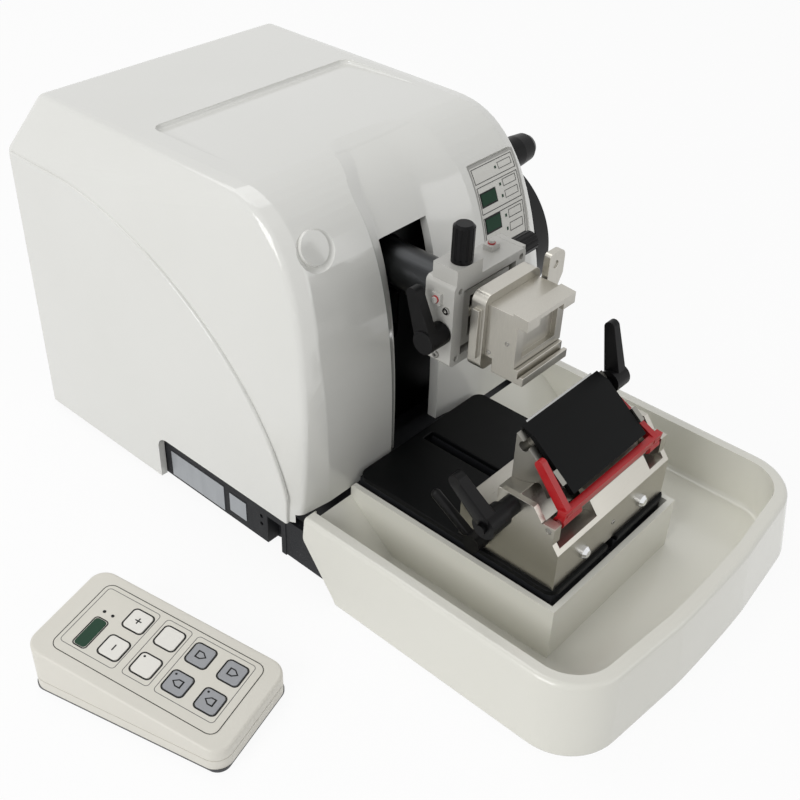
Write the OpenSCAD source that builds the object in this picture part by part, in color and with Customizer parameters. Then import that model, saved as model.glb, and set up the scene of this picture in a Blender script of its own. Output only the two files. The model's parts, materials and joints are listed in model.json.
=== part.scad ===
// Rotary microtome with its waste tray, knife holder, cassette clamp and control unit, in millimetres.
// +X is the operator's right, -Y faces the operator and +Z is up.
// The drawing is laid out from the middle of the housing (X) and the front corner of its base (Y);
// in_frame() then moves it so that the frame's origin is the middle of the front left foot.

/* [Housing] */
// Width of the housing
body_w = 322; // [306:1:340]
// Height of the housing
body_h = 295; // [286:1:310]
// Depth of the housing behind the base's front corner
body_d = 316; // [304:1:340]
// Height of the side walls at the rear, where the roof bevel starts
side_h = 261; // [246:1:268]
// How far the roof is inset from each side wall
roof_inset = 30; // [20:1:40]
// How far the front wall stands ahead of the base's front corner
front_out = 21; // [18:0.5:23]
// Depth of the hollow between the two front wings at its lower end
hollow_d = 8; // [4:0.5:10]
// Rounding radius of the housing's edges
edge_r = 9; // [8:0.5:12]
// Wall thickness of the housing
skin = 4; // [3:0.5:5]
// Height of the housing's lower edge at the front
front_z = 58; // [56:1:64]
// Gap between the housing's lower edge and the bench
bench_gap = 5.5; // [4:0.5:8]
// Height of the raised lower side panels above the rest of the wall
step_h = 2; // [1:0.5:3]
// Height of the cut-out that shows the base on each side
cutout_h = 50; // [44:1:54]
// Depth of the side cut-out behind the base's front corner
cutout_d = 148; // [120:1:170]
// Diameter of the blank cap in the left wing
cap_d = 27; // [20:1:32]

/* [Specimen axis] */
// Offset of the specimen and knife from the middle of the housing, to the left
axis_off = 21; // [18:1:24]
// Height of the specimen axis at the top of the stroke
axis_z = 216; // [210:1:220]
// Vertical stroke of the specimen
stroke = 70; // [50:1:72]
// Width of the slot that the specimen cylinder runs in
slot_w = 54; // [50:0.5:56]
// Offset of the slot to the right of the specimen axis
slot_off = 7; // [4:0.5:9]
// Diameter of the specimen cylinder
cyl_d = 36; // [30:1:38]

/* [Drive] */
// Diameter of the handwheel
wheel_d = 152; // [140:1:156]
// Height of the handwheel's shaft
shaft_z = 142; // [136:1:146]
// Distance of the handwheel's shaft behind the base's front corner
shaft_y = 84; // [80:1:90]
// Diameter of the main shaft
shaft_d = 16; // [12:0.5:20]
// Distance of the grip from the shaft
grip_r = 62; // [54:1:64]
// Diameter of the grip
grip_d = 30; // [24:1:32]
// Overall width from the left side to the end of the grip
overall_w = 413; // [405:1:425]
// Diameter of the vertical guide rods
rod_d = 12; // [10:0.5:14]
// Diameter of the feed screw
screw_d = 10; // [8:0.5:12]
// Side of the square feed motor
motor_w = 42; // [35:1:42]

/* [Waste tray] */
// Depth of the tray in front of the base's front corner
tray_d = 292; // [282:1:315]
// Height of the tray's rim
rim_z = 63; // [58:1:64]
// Width of the rim
rim_w = 11; // [8:0.5:14]
// How far the walls flare out from rim to foot
flare = 7; // [3:0.5:10]
// Radius of the tray's front corners
tray_r = 45; // [30:1:50]
// Height of the tray's floor
floor_z = 14; // [10:1:20]

/* [Knife base plate] */
// Width of the black base plate
plate_w = 152; // [146:1:160]
// Distance of the plate's front edge from the base's front corner
plate_front = 213; // [212:1:225]
// Thickness of the base plate
plate_t = 5; // [4:0.5:6]
// Height of the plate's underside
plate_z = 66; // [64:0.5:68]
// Corner radius of the base plate
plate_r = 9; // [5:0.5:14]
// Width of the guide groove along the plate
groove_w = 12; // [10:0.5:14]

/* [Knife holder] */
// Width of the knife holder's base
holder_w = 146; // [136:1:150]
// Front of the holder's base from the base's front corner
holder_front = 210; // [206:1:212]
// Back of the holder's base from the base's front corner
holder_back = 124; // [122:1:128]
// Height of the cutting edge
edge_z = 172; // [170:0.5:175]
// Distance of the cutting edge from the base's front corner
edge_y = 149.5; // [148:0.5:151]
// Radius of the clearance angle arc round the cutting edge
arc_r = 72.5; // [71:0.5:73]
// Radial thickness of the segment arc
arc_t = 30; // [28:1:31]
// Width of the blade carriage and pressure plate
press_w = 94; // [86:1:98]
// Length of the pressure plate down its slope
press_l = 60; // [54:1:62]
// Slope of the pressure plate above the horizontal
press_a = 38; // [34:1:42]
// Thickness of the pressure plate
press_t = 5; // [4:0.5:6]
// Diameter of the holder's steel pins
pin_d = 5; // [4:0.5:6]

/* [Specimen head] */
// Width of the head block
head_w = 82; // [78:1:86]
// Height of the head block
head_h = 68; // [64:1:72]
// Depth of the head block
head_d = 26; // [24:1:28]
// Distance of the head block's back from the base's front corner
head_y = 54; // [52:1:58]
// Width of the adapter frame
frame_w = 64; // [58:1:68]
// Width of the cassette clamp
clamp_w = 56; // [50:1:58]
// Height of the cassette clamp
clamp_h = 54; // [50:1:58]

/* [Control unit] */
// Width of the control unit
unit_w = 86; // [82:1:100]
// Length of the control unit
unit_l = 162; // [156:1:185]
// Height of the control unit at its display end
unit_h1 = 44; // [40:1:52]
// Height of the control unit at its operator end
unit_h2 = 22; // [20:1:30]
// Turn of the control unit on the bench
unit_turn = 15; // [-10:1:20]
// Width of one key
key_w = 17; // [14:0.5:18]

/* [Hidden] */
$fn = 48;

half = body_w / 2;
axis_x = -axis_off;
wall_x = half - step_h - skin;
play = 0.3;
run = 0.05;
base_x = wall_x - 1;
base_top = cutout_h - 4;
foot_d = 24;
foot_x = half - 32;
foot_y = 26;
foot_rear_y = body_d - 40;

// Front wall: a squared ellipse in the Y-Z plane.
front_cy = 80;
front_n = 2.7;
front_a = front_cy + front_out;
front_b = body_h - front_z;
side_bow = 3;
steps = 12;
wing_x = 125;
function squared(v) = pow(max(v, 0), 2 / front_n);
function front_yz(t, in) = [front_cy - (front_a - in) * squared(cos(t)),
    front_z + (front_b - in) * squared(sin(t))];
function lean(z) = 5 + (roof_inset - 5) * max(0, z - front_z) / front_b;

// Side arc: below it the wall stands a step proud.
arc_cy = 250;
arc_y = 263;
arc_n = 1.85;
function arc_z(y) = cutout_h + (side_h - cutout_h)
    * pow(1 - pow(max(0, arc_cy - y) / arc_y, arc_n), 1 / arc_n);
arc_start = arc_cy - arc_y;

head_x = axis_x;
slot_l = axis_x + slot_off - slot_w / 2;
slot_r = slot_l + slot_w;
neck_r = cyl_d / 2;
slot_top = axis_z + neck_r + 10;
hollow_l = slot_l - 14;
hollow_r = slot_r + 14;
cap_x = -half + 56;
cap_t = 55;
cap_tilt = 63;
cap_skin = 2;
dish_d = cap_d + 12;
panel_l = 66;
panel_r = 126;
panel_low = 27;
panel_high = 57;
panel_in = 2.5;

sleeve_r = neck_r + 8;
rod_gap = 42;
rod_y = 64;
bridge_top = 258;
bridge_t = 10;
car_d = 22;
car_h = 60;
car_x = rod_gap + 13;
tube_back = 188;
crank_r = stroke / 2;
disc_x = 62;
disc_t = 8;
yoke_l = car_x + axis_x + 2;
yoke_t = 8;
roller_d = 16;
bearing_d = 34;
bearing_w = 10;
tower_x = 74;
tower_w = 34;
wheel_x = half + 8;
wheel_t = 24;
grip_end = overall_w - half;
axle_d = 10;
panel_y = body_d - 9;
panel_t = 3;
rear_w = 260;
rear_h = 150;

ring_y = head_y + 18;
frame_t = 12;
frame_gap = 8.5;
frame_h = 62;
head_front = head_y + head_d;
frame_front = head_front + frame_gap + frame_t;
clamp_d = 26;
clamp_front = frame_front + clamp_d;
clamp_top = axis_z + clamp_h / 2 - 3;
clamp_low = clamp_top - clamp_h;
ear_t = 8;
tilt_pin_r = 4;
lever_y = frame_front - 5;
lever_z = axis_z + 8;

plate_top = plate_z + plate_t;
plate_back = front_out + 3;
island_w = plate_w - 6;
island_front = plate_front - 3;
island_wall = 4;
tray_w = body_w - 8;
tray_back = front_out + 1.5;
tray_t = 3.5;
cut_z = cutout_h - 4;
cut_y = 64;
function slope_y(z) = -cut_y + 2 + (z - 6) * (cut_y - tray_back - 1) / (cut_z - 5);

hold_z = plate_top + run;
bend_z = hold_z + 33;
face_slope = 23 / 32;
face_t = 9;
mid_top = hold_z + 53;
cheek_top = hold_z + 64;
foot_gap_z = hold_z + 36;
seg_r = arc_r - 0.15;
seg_in = arc_r - arc_t;
seg_rear = 2;
press_x = press_w / 2;
shaft_at = [-edge_y - 18.5, edge_z - 45];
press_at = [-edge_y - 9, edge_z - 11];

unit_x = -half - 142;
unit_y = -27.5;
unit_slope = atan((unit_h1 - unit_h2) / unit_l);
key_d = 16;
key_cols = [-11, 16.5];
key_rows = [28.5, 1.5, -25, -51.5];
function key_post(y) = (unit_h1 + unit_h2) / 2 + y * tan(unit_slope) - 5.6;
switch_x = -104;
switch_z = 66;
knob_x = head_x - 25;
clamp_pin = head_x + clamp_w / 2 + 5.5;
supply_x = -base_x + 11;
board_y = body_d - 18;
guard_y = edge_y + 50;
guard_z = edge_z - 50.5;
low_shaft = [-holder_back - 22, hold_z + 12];
seg_x = holder_w / 2 - 5.4;
hinge_u = -45;
hinge_v = 2.8;

module in_frame() translate([foot_x, -foot_y, 0]) children();
module profile_x(x0, x1) translate([x0, 0, 0]) rotate([90, 0, 90]) linear_extrude(x1 - x0) children();
module bar_x(r, x0, x1, at) translate([x0, at[0], at[1]]) rotate([0, 90, 0]) cylinder(r = r, h = x1 - x0);
module bar_y(r, y0, y1, at) translate([at[0], y0, at[1]]) rotate([-90, 0, 0]) cylinder(r = r, h = y1 - y0);
module bar_z(r, z0, z1, at) translate([at[0], at[1], z0]) cylinder(r = r, h = z1 - z0);
module box(x, y, z) translate([x[0], y[0], z[0]]) cube([x[1] - x[0], y[1] - y[0], z[1] - z[0]]);
module mirrored() { children(); mirror([1, 0, 0]) children(); }
module round_rect(w, d, r) {
    square([w - 2 * r, d], center = true);
    square([w, d - 2 * r], center = true);
    for (x = [-1, 1], y = [-1, 1]) translate([x * (w / 2 - r), y * (d / 2 - r)]) circle(r);
}
// Arm of a lever in the Y-Z plane, from a round hub to a smaller round tip.
module arm(x0, x1, from, to, r0, r1) hull() {
    bar_x(r0, x0, x1, from, $fn = 32);
    bar_x(r1, x0, x1, to, $fn = 32);
}
// Everything in the plane of the pressure plate: u down the slope from the edge, v up from the blade.
module on_slope() translate([0, -edge_y, edge_z]) rotate([press_a, 0, 0]) children();

module base_casting() color("#3a3b3d") in_frame() {
    base_body();
    for (x = [-foot_x, foot_x], y = [foot_y, foot_rear_y]) difference() {
        bar_z(foot_d / 2 + 0.4, bench_gap, base_top - 9.5, [x, y]);
        bar_z(3.5, bench_gap - 1, base_top - 15, [x, y]);
    }
}
module base_body() difference() {
    union() {
        rotate([90, 0, 0]) translate([0, 0, -body_d + 12]) linear_extrude(body_d - 12) polygon([
            [-base_x, bench_gap], [-base_x, base_top - 5], [-base_x + 5, base_top],
            [base_x - 5, base_top], [base_x, base_top - 5], [base_x, bench_gap]]);
        box([axis_x - island_w / 2, axis_x + island_w / 2], [-island_front, -plate_back], [bench_gap, plate_z]);
        box([axis_x - island_w / 2, axis_x + island_w / 2], [-plate_back - 1, 1], [bench_gap, front_z - 0.5]);
        mirrored() profile_x(base_x - 8, base_x - 0.5) polygon([[1, bench_gap + 1],
            [slope_y(bench_gap + 1) + 0.45, bench_gap + 1], [slope_y(cut_z - 2) + 0.45, cut_z - 2],
            [1, cut_z - 2]]);
        for (s = [-1, 1]) box([axis_x + s * (car_x + 9) - 6, axis_x + s * (car_x + 9) + 6], [24, 35],
            [base_top - 1, bridge_top]);
        box([axis_x - car_x - 15, axis_x + car_x + 15], [24, rod_y + 12], [bridge_top - bridge_t, bridge_top]);
        box([tower_x, tower_x + tower_w], [shaft_y - 21, shaft_y + 21], [base_top - 1, shaft_z]);
        bar_x(24, tower_x, tower_x + tower_w, [shaft_y, shaft_z]);
    }
    box([-base_x + 16, -4], [16, body_d - 28], [bench_gap - 1, base_top - 14]);
    box([4, base_x - 16], [16, body_d - 28], [bench_gap - 1, base_top - 14]);
    box([axis_x - island_w / 2 + 12, axis_x + island_w / 2 - 12], [-island_front + 12, -14],
        [bench_gap - 1, plate_z - 20]);
    box([axis_x - groove_w / 2, axis_x + groove_w / 2], [-island_front - 1, -30], [plate_z - 8, plate_z + 1]);
    mirrored() box([base_x - 12, base_x + 1], [5, 21], [bench_gap - 1, 34]);
    for (z = [22, 30]) bar_x(1.8, -base_x - 1, -base_x + 8, [28, z]);
    for (s = [-1, 1]) bar_z(rod_d / 2 + 0.02, base_top - 8, bridge_top + 1, [axis_x + s * rod_gap, rod_y]);
    for (x = [tower_x, tower_x + tower_w - bearing_w]) bar_x(bearing_d / 2, x - 0.01, x + bearing_w,
        [shaft_y, shaft_z]);
    bar_x(shaft_d / 2 + 3, tower_x, tower_x + tower_w, [shaft_y, shaft_z]);
}

module knife_base_plate() color("#17181a") in_frame() difference() {
    translate([axis_x, -(plate_front + plate_back) / 2, plate_z]) linear_extrude(plate_t)
        round_rect(plate_w, plate_front - plate_back, plate_r);
    box([axis_x - groove_w / 2, axis_x + groove_w / 2], [-plate_front - 1, -plate_back - 8],
        [plate_z - 1, plate_top + 1]);
}

module node_ball(x, yz, r) translate([x, yz[0], yz[1]]) sphere(r, $fn = 16);
// The housing's outer form, or its hollow when the rounding is less by the wall.
module housing_form(r) hull() {
    for (s = [-1, 1]) {
        for (i = [0 : steps]) let (yz = front_yz(90 * i / steps, edge_r)) {
            node_ball(s * (half - lean(yz[1]) - edge_r), yz + [side_bow, -1], r);
            node_ball(s * min(wing_x, half - lean(yz[1]) - edge_r - 8), yz, r);
        }
        for (i = [1 : steps]) let (y = arc_start + (arc_cy - arc_start) * i * i / (steps * steps))
            node_ball(s * (half - step_h - edge_r), [y + edge_r, arc_z(y) - edge_r / 2], r);
        node_ball(s * (half - step_h - edge_r), [arc_start + edge_r, 0], r);
        for (z = [0, side_h - edge_r]) node_ball(s * (half - step_h - edge_r), [body_d - edge_r, z], r);
        node_ball(s * (half - roof_inset - edge_r), [body_d - edge_r - 6, body_h - edge_r], r);
    }
}
// Everything ahead of the front wall set back by a given depth, between two widths.
// A further depth fades from its full value at the wall's foot to nothing at the roof.
module ahead_of(in, x0, x1, t0 = 0, t1 = 90, fading = 0, far = 60) profile_x(x0, x1) difference() {
    translate([-far, t0 > 0 ? front_yz(t0, in)[1] : 0]) square([front_cy + far,
        (t1 < 90 ? front_yz(t1, in)[1] : body_h + 9) - (t0 > 0 ? front_yz(t0, in)[1] : 0)]);
    polygon(concat([[front_cy + 1, -1], [front_cy - front_a + in + fading, -1]],
        [for (i = [0 : 2 * steps]) let (t = 45 * i / steps) front_yz(t, in + fading * squared(cos(t)))],
        [[front_cy + 1, front_z + front_b - in]]));
}
// Seat of the blank cap, square to the curved wall.
module at_cap() let (yz = front_yz(cap_t, cap_skin)) translate([cap_x, yz[0], yz[1]])
    rotate([cap_tilt, 0, 0]) children();
module main_cover() color("#e9e7e0") in_frame() difference() {
    union() {
        difference() {
            housing_form(edge_r);
            difference() {
                housing_form(edge_r - skin);
                ahead_of(skin, hollow_l - skin, hollow_r + skin, fading = hollow_d);
            }
        }
        mirrored() profile_x(half - step_h - 1, half) polygon(concat(
            [[body_d - edge_r, 0], [arc_start + 4, 0]],
            [for (i = [0 : 2 * steps]) let (y = arc_start + 4 + (arc_cy - arc_start) * i * i / (4 * steps * steps))
                [y, arc_z(y) - 6]], [[body_d - edge_r, side_h - 6]]));
    }
    box([-half - 1, half + 1], [-99, body_d + 1], [-20, bench_gap]);
    box([-wall_x, wall_x], [-99, body_d - skin], [-20, front_z]);
    box([-half - 1, half + 1], [-99, cutout_d], [-20, cutout_h]);
    ahead_of(-0.6, hollow_l, hollow_r, fading = hollow_d + 0.6);
    ahead_of(panel_in, panel_l, panel_r, panel_low, panel_high);
    box([slot_l, slot_r], [-99, 20], [-20, slot_top]);
    box([-rear_w / 2, rear_w / 2], [body_d - skin - 1, body_d + 1], [-20, rear_h]);
    at_cap() {
        translate([0, 0, -1]) cylinder(d = cap_d + 10, h = 20);
        translate([0, 0, -20]) cylinder(d = cap_d - 6, h = 20);
    }
    bar_x(22, half - 12, half + 1, [shaft_y, shaft_z]);
    bar_x(4.1, half - 12, half + 1, [14, 100]);
}
module rear_panel() color("#2b2c2e") in_frame() difference() {
    box([-rear_w / 2 + play, rear_w / 2 - play], [body_d - skin, body_d - 1], [bench_gap, rear_h - play]);
    box([-rear_w / 2 - 1, rear_w / 2 + 1], [body_d - skin - 1, body_d - 2], [bench_gap - 1, base_top]);
    box([switch_x - 8, switch_x + 8], [body_d - 9, body_d + 1], [switch_z - 12, switch_z + 12]);
    box([switch_x + 18, switch_x + 46], [body_d - 9, body_d + 1], [switch_z - 11, switch_z + 11]);
    for (i = [0 : 2]) bar_y(8, body_d - 9, body_d + 1, [20 + 26 * i, switch_z]);
    for (i = [0 : 9]) box([10 + 8 * i, 14 + 8 * i], [body_d - 9, body_d + 1], [100, 136]);
}
module power_switch() color("#141415") in_frame() {
    profile_x(switch_x - 6.4, switch_x + 6.4) polygon([[body_d - 6, switch_z - 9.5], [body_d + 2.6, switch_z - 9],
        [body_d + 0.8, switch_z], [body_d + 1.4, switch_z + 9], [body_d - 6, switch_z + 9.5]]);
    bar_x(1.5, switch_x - 7.4, switch_x + 7.4, [body_d - 4, switch_z]);
}
module rear_sockets() color("#202124") in_frame() {
    difference() {
        box([switch_x - 8, switch_x + 8], [body_d - 14, body_d], [switch_z - 12, switch_z + 12]);
        box([switch_x - 6.8, switch_x + 6.8], [body_d - 9, body_d + 1], [switch_z - 10.6, switch_z + 10.6]);
        bar_x(1.55, switch_x - 7.5, switch_x + 7.5, [body_d - 4, switch_z]);
    }
    difference() {
        box([switch_x + 18, switch_x + 46], [body_d - 22, body_d], [switch_z - 11, switch_z + 11]);
        box([switch_x + 20, switch_x + 44], [body_d - 18, body_d + 1], [switch_z - 9, switch_z + 9]);
    }
    for (i = [-1 : 1]) box([switch_x + 31 + 7 * i, switch_x + 33 + 7 * i], [body_d - 19, body_d - 4],
        [switch_z - 3, switch_z + 3]);
    for (i = [0 : 2]) difference() {
        bar_y(7.9, body_d - 14, body_d + 1, [20 + 26 * i, switch_z]);
        bar_y(5.5, body_d - 11, body_d + 2, [20 + 26 * i, switch_z]);
    }
}
module blank_cap() color("#dcdad2") in_frame() at_cap() {
    translate([0, 0, -0.98]) cylinder(d1 = cap_d, d2 = cap_d - 1.6, h = 3);
    translate([0, 0, -8]) cylinder(d = cap_d - 6.1, h = 7.5);
}
module slot_cover() color("#1b1c1e") in_frame() difference() {
    box([axis_x - car_x - 11, axis_x + car_x + 11], [21.5, 23.98], [base_top + 0.5, slot_top + 4]);
    hull() for (z = [axis_z - stroke, axis_z]) bar_y(neck_r + 1.5, 20, 25, [axis_x, z]);
}
module on_wall(in, out, x0, x1, t0, t1) difference() {
    ahead_of(in, x0, x1, t0, t1);
    ahead_of(out, x0 - 1, x1 + 1, t0 - 1, t1 + 1);
}
module panel_foil() color("#d9d6cc") in_frame()
    on_wall(panel_in - 0.02, panel_in - 1.2, panel_l + play, panel_r - play, panel_low + 0.3, panel_high - 0.3);
module panel_displays() color("#22301f") in_frame() {
    on_wall(panel_in - 1.22, panel_in - 1.8, panel_l + 6, panel_r - 14, 36, 39.5);
    on_wall(panel_in - 1.22, panel_in - 1.8, panel_l + 10, panel_r - 10, 30.5, 34);
}

module tray_outline(in, f) hull() {
    for (s = [-1, 1]) translate([s * (tray_w / 2 + f - tray_r), -tray_d - f + 7 + tray_r]) circle(tray_r - in);
    for (s = [-1, 1]) translate([s * 50, -tray_d - f + tray_r]) circle(tray_r - in);
    translate([-tray_w / 2 - f + in, -tray_back - 2]) square([tray_w + 2 * f - 2 * in, 2]);
}
module tray_form(in, z0, z1, f0, f1) hull() {
    translate([0, 0, z0]) linear_extrude(0.5) tray_outline(in, f0);
    translate([0, 0, z1 - 0.5]) linear_extrude(0.5) tray_outline(in, f1);
}
// Everything under the slope that clears the base's two flanges, raised by a given amount.
module under_slope(up) profile_x(-half - 9, half + 9) polygon([[1, -1], [-cut_y - 2 - up, -1],
    [-cut_y - 2 - up, up > 0 ? floor_z : 4 - 5], [-cut_y + 2 - up, up > 0 ? floor_z : 6],
    [-tray_back + 1, cut_z + 1 + up], [1, cut_z + 1 + up]]);
module waste_tray() color("#e9e7e0") in_frame() difference() {
    tray_form(0, 0.2, rim_z, flare, 0);
    difference() {
        tray_form(rim_w, floor_z, rim_z + 9, 2, 0);
        under_slope(tray_t + 2);
        box([axis_x - plate_w / 2 - 6, axis_x + plate_w / 2 + 6], [-plate_front - 6, 0], [0, rim_z - 1]);
    }
    difference() {
        tray_form(tray_t, -1, rim_z - tray_t, flare, 0);
        tray_form(rim_w - tray_t, floor_z - tray_t, rim_z + 9, 2, 0);
        box([axis_x - plate_w / 2 - 6, axis_x + plate_w / 2 + 6], [-plate_front - 6, 0], [-2, rim_z]);
        under_slope(tray_t);
    }
    under_slope(0);
    box([axis_x - plate_w / 2 - 1.5, axis_x + plate_w / 2 + 1.5], [-plate_front - 1.5, 1], [-1, rim_z + 1]);
}
module rubber_feet() color("#161617") in_frame() for (x = [-foot_x, foot_x], y = [foot_y, foot_rear_y]) {
    translate([x, y, 0]) cylinder(d1 = foot_d - 3, d2 = foot_d - 1, h = bench_gap);
    bar_z(3.45, bench_gap - 1, bench_gap + 12, [x, y]);
}

module guide_rods() color("#c9ccd0") in_frame() for (s = [-1, 1])
    bar_z(rod_d / 2, base_top - 7.9, bridge_top - 0.5, [axis_x + s * rod_gap, rod_y]);
module shaft_bearings() color("#b4b8bd") in_frame() for (x = [tower_x, tower_x + tower_w - bearing_w])
    difference() {
        bar_x(bearing_d / 2 - 0.02, x, x + bearing_w, [shaft_y, shaft_z]);
        bar_x(shaft_d / 2 + run, x - 1, x + bearing_w + 1, [shaft_y, shaft_z]);
    }
module main_shaft() color("#c9ccd0") in_frame() {
    bar_x(shaft_d / 2, disc_x + disc_t, wheel_x + wheel_t - 3, [shaft_y, shaft_z]);
    bar_x(shaft_d / 2 + 2.5, tower_x + tower_w + 0.2, tower_x + tower_w + 4, [shaft_y, shaft_z]);
}
module crank_disc() color("#7d8187") in_frame() {
    difference() {
        union() {
            bar_x(crank_r + 11, disc_x, disc_x + disc_t, [shaft_y, shaft_z]);
            profile_x(disc_x - 8, disc_x + 1) intersection() {
                translate([shaft_y, shaft_z]) circle(crank_r + 11);
                translate([shaft_y - 60, shaft_z - 60]) square([120, 48]);
            }
        }
        for (a = [-1, 1]) bar_x(5, disc_x - 1, disc_x + disc_t + 1, [shaft_y + 26 * a, shaft_z + 6]);
    }
    bar_x(4, yoke_l + yoke_t + 1.5, disc_x + 1, [shaft_y, shaft_z + crank_r]);
    bar_x(6.5, yoke_l + yoke_t + 1, yoke_l + yoke_t + 2.5, [shaft_y, shaft_z + crank_r]);
}
module crank_roller() color("#b4b8bd") in_frame() difference() {
    bar_x(roller_d / 2, yoke_l + yoke_t + 3, disc_x - 1, [shaft_y, shaft_z + crank_r]);
    bar_x(4 + run, 0, disc_x + 1, [shaft_y, shaft_z + crank_r]);
}
module handwheel() color("#1a1b1d") in_frame() difference() {
    translate([wheel_x, shaft_y, shaft_z]) rotate([0, 90, 0]) rotate_extrude($fn = 96) polygon([
        [0, -5], [20, -5], [20, 3], [wheel_d / 2 - 16, 8], [wheel_d / 2 - 14, 0], [wheel_d / 2 - 3, 0],
        [wheel_d / 2, 3], [wheel_d / 2, wheel_t - 3], [wheel_d / 2 - 3, wheel_t], [wheel_d / 2 - 14, wheel_t],
        [wheel_d / 2 - 16, 13], [24, 13], [22, wheel_t], [0, wheel_t]]);
    bar_x(shaft_d / 2 + 0.02, wheel_x - 9, wheel_x + wheel_t - 2.9, [shaft_y, shaft_z]);
    bar_x(axle_d / 2 - 0.98, wheel_x + 2, wheel_x + wheel_t + 1, [shaft_y, shaft_z + grip_r]);
}
module grip_axle() color("#c9ccd0") in_frame() {
    bar_x(axle_d / 2 - 1, wheel_x + 3, wheel_x + wheel_t, [shaft_y, shaft_z + grip_r]);
    bar_x(axle_d / 2, wheel_x + wheel_t + 0.02, grip_end - 6, [shaft_y, shaft_z + grip_r]);
}
module grip() color("#1a1b1d") in_frame() difference() {
    translate([wheel_x + wheel_t + 1, shaft_y, shaft_z + grip_r]) rotate([0, 90, 0]) rotate_extrude(
        $fn = 64) let (l = grip_end - wheel_x - wheel_t - 1) polygon([[0, 0], [grip_d / 2 - 4, 0],
        [grip_d / 2 - 2, 2], [grip_d / 2 - 0.6, 14], [grip_d / 2, l * 0.6], [grip_d / 2 - 1.5, l - 8],
        [grip_d / 2 - 4.5, l - 2.5], [grip_d / 2 - 8, l], [0, l]]);
    bar_x(axle_d / 2 + run, wheel_x, grip_end - 5, [shaft_y, shaft_z + grip_r]);
}
module lock_lever() color("#1a1b1d") in_frame() {
    bar_x(4, half - 22, half + 1, [14, 100]);
    bar_x(8, half + 0.5, half + 6.5, [14, 100]);
    arm(half + 1, half + 6, [14, 100], [12, 134], 7, 4);
    bar_x(7, half - 22, half - 16, [14, 100]);
}

module carriage() color("#6f747a") in_frame() difference() {
    union() {
        box([axis_x - car_x, axis_x + car_x], [rod_y - car_d / 2, rod_y + car_d / 2],
            [axis_z - car_h / 2, axis_z + car_h / 2]);
        bar_y(sleeve_r, rod_y - car_d / 2 - 5, tube_back, [axis_x, axis_z]);
        box([axis_x - motor_w / 2 - 2, axis_x + motor_w / 2 + 2], [tube_back - 6, tube_back],
            [axis_z - motor_w / 2 - 2, axis_z + motor_w / 2 + 2]);
        box([yoke_l - 3, yoke_l + yoke_t], [shaft_y - crank_r - 12.5, shaft_y + crank_r + 12.5],
            [shaft_z + crank_r - 15, shaft_z + crank_r + 15]);
        box([axis_x + sleeve_r - 6, yoke_l + 1], [rod_y - car_d / 2, rod_y + car_d / 2],
            [shaft_z + crank_r - 15, axis_z]);
    }
    bar_y(neck_r + run, rod_y - car_d, tube_back - 6, [axis_x, axis_z]);
    bar_y(screw_d / 2 + 1, rod_y, tube_back + 1, [axis_x, axis_z]);
    for (s = [-1, 1]) bar_z(rod_d / 2 + run, 100, 290, [axis_x + s * rod_gap, rod_y]);
    hull() for (s = [-1, 1]) bar_x(roller_d / 2 + run, yoke_l - 9, yoke_l + yoke_t + 1,
        [shaft_y + s * (crank_r + 2), shaft_z + crank_r]);
}
module feed_motor() color("#26272a") in_frame() difference() {
    union() {
        box([axis_x - motor_w / 2, axis_x + motor_w / 2], [tube_back + 0.02, tube_back + 38],
            [axis_z - motor_w / 2, axis_z + motor_w / 2]);
        bar_y(11, tube_back + 37, tube_back + 46, [axis_x, axis_z]);
    }
    bar_y(screw_d / 2 + run, tube_back - 1, tube_back + 30, [axis_x, axis_z]);
}
module feed_screw() color("#c9ccd0") in_frame() bar_y(screw_d / 2, 106, tube_back + 28, [axis_x, axis_z]);
module feed_cylinder() color("#c9ccd0") in_frame() difference() {
    bar_y(neck_r, -head_y + 0.02, 150, [axis_x, axis_z]);
    bar_y(screw_d / 2 + 3, 78, 151, [axis_x, axis_z]);
    bar_y(12, 138, 151, [axis_x, axis_z]);
}
module feed_nut() color("#b08d4a") in_frame() difference() {
    bar_y(11.98, 138.02, 150, [axis_x, axis_z]);
    bar_y(screw_d / 2 + run, 130, 160, [axis_x, axis_z]);
}
module power_supply() color("#9a9ea3") in_frame() difference() {
    box([supply_x, supply_x + 74], [body_d - 114, body_d - 28], [base_top + 0.02, 100]);
    for (i = [0 : 8]) box([supply_x + 8 + 7 * i, supply_x + 11 + 7 * i], [body_d - 94, body_d - 39], [98.5, 101]);
}
module circuit_board() color("#23603a") in_frame() {
    box([34, 128], [board_y, board_y + 1.6], [82, 168]);
    for (x = [40, 122], z = [92, 142]) bar_y(3, board_y + 1.5, body_d - skin - 0.02, [x, z]);
    for (x = [50, 76, 102]) box([x - 9, x + 9], [board_y - 8, board_y + 0.1], [110, 136]);
}

module head_block() color("#c4c7c9") in_frame() difference() {
    union() {
        translate([head_x, -head_y, axis_z]) rotate([90, 0, 0]) linear_extrude(head_d)
            round_rect(head_w, head_h, 4);
        box([knob_x - 14, knob_x + 14], [-head_front, -head_y - 4], [axis_z, axis_z + head_h / 2 + 12]);
        box([head_x + head_w / 2 - 3, head_x + head_w / 2 + 2], [-head_front + 2, -head_front + 26],
            [axis_z + 10, axis_z + head_h / 2]);
    }
    box([head_x - 30, head_x + 30], [-head_front - 1, -head_y - 4], [axis_z - 27, axis_z + 27]);
    bar_z(tilt_pin_r + run, axis_z - 32, axis_z + 32, [head_x, -ring_y]);
    bar_z(3 + run, axis_z + 26, 300, [knob_x, -ring_y]);
    bar_x(3 + run, head_x, half, [-head_front + 14, axis_z + 24]);
    bar_x(tilt_pin_r + run, head_x - half, head_x - 31, [-ring_y + 1, axis_z - 6]);
    for (x = [head_x - 34, head_x + 36], z = [axis_z - 28, axis_z + 28]) bar_y(2.5, -head_front - 1,
        -head_front + 3, [x, z]);
}
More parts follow.
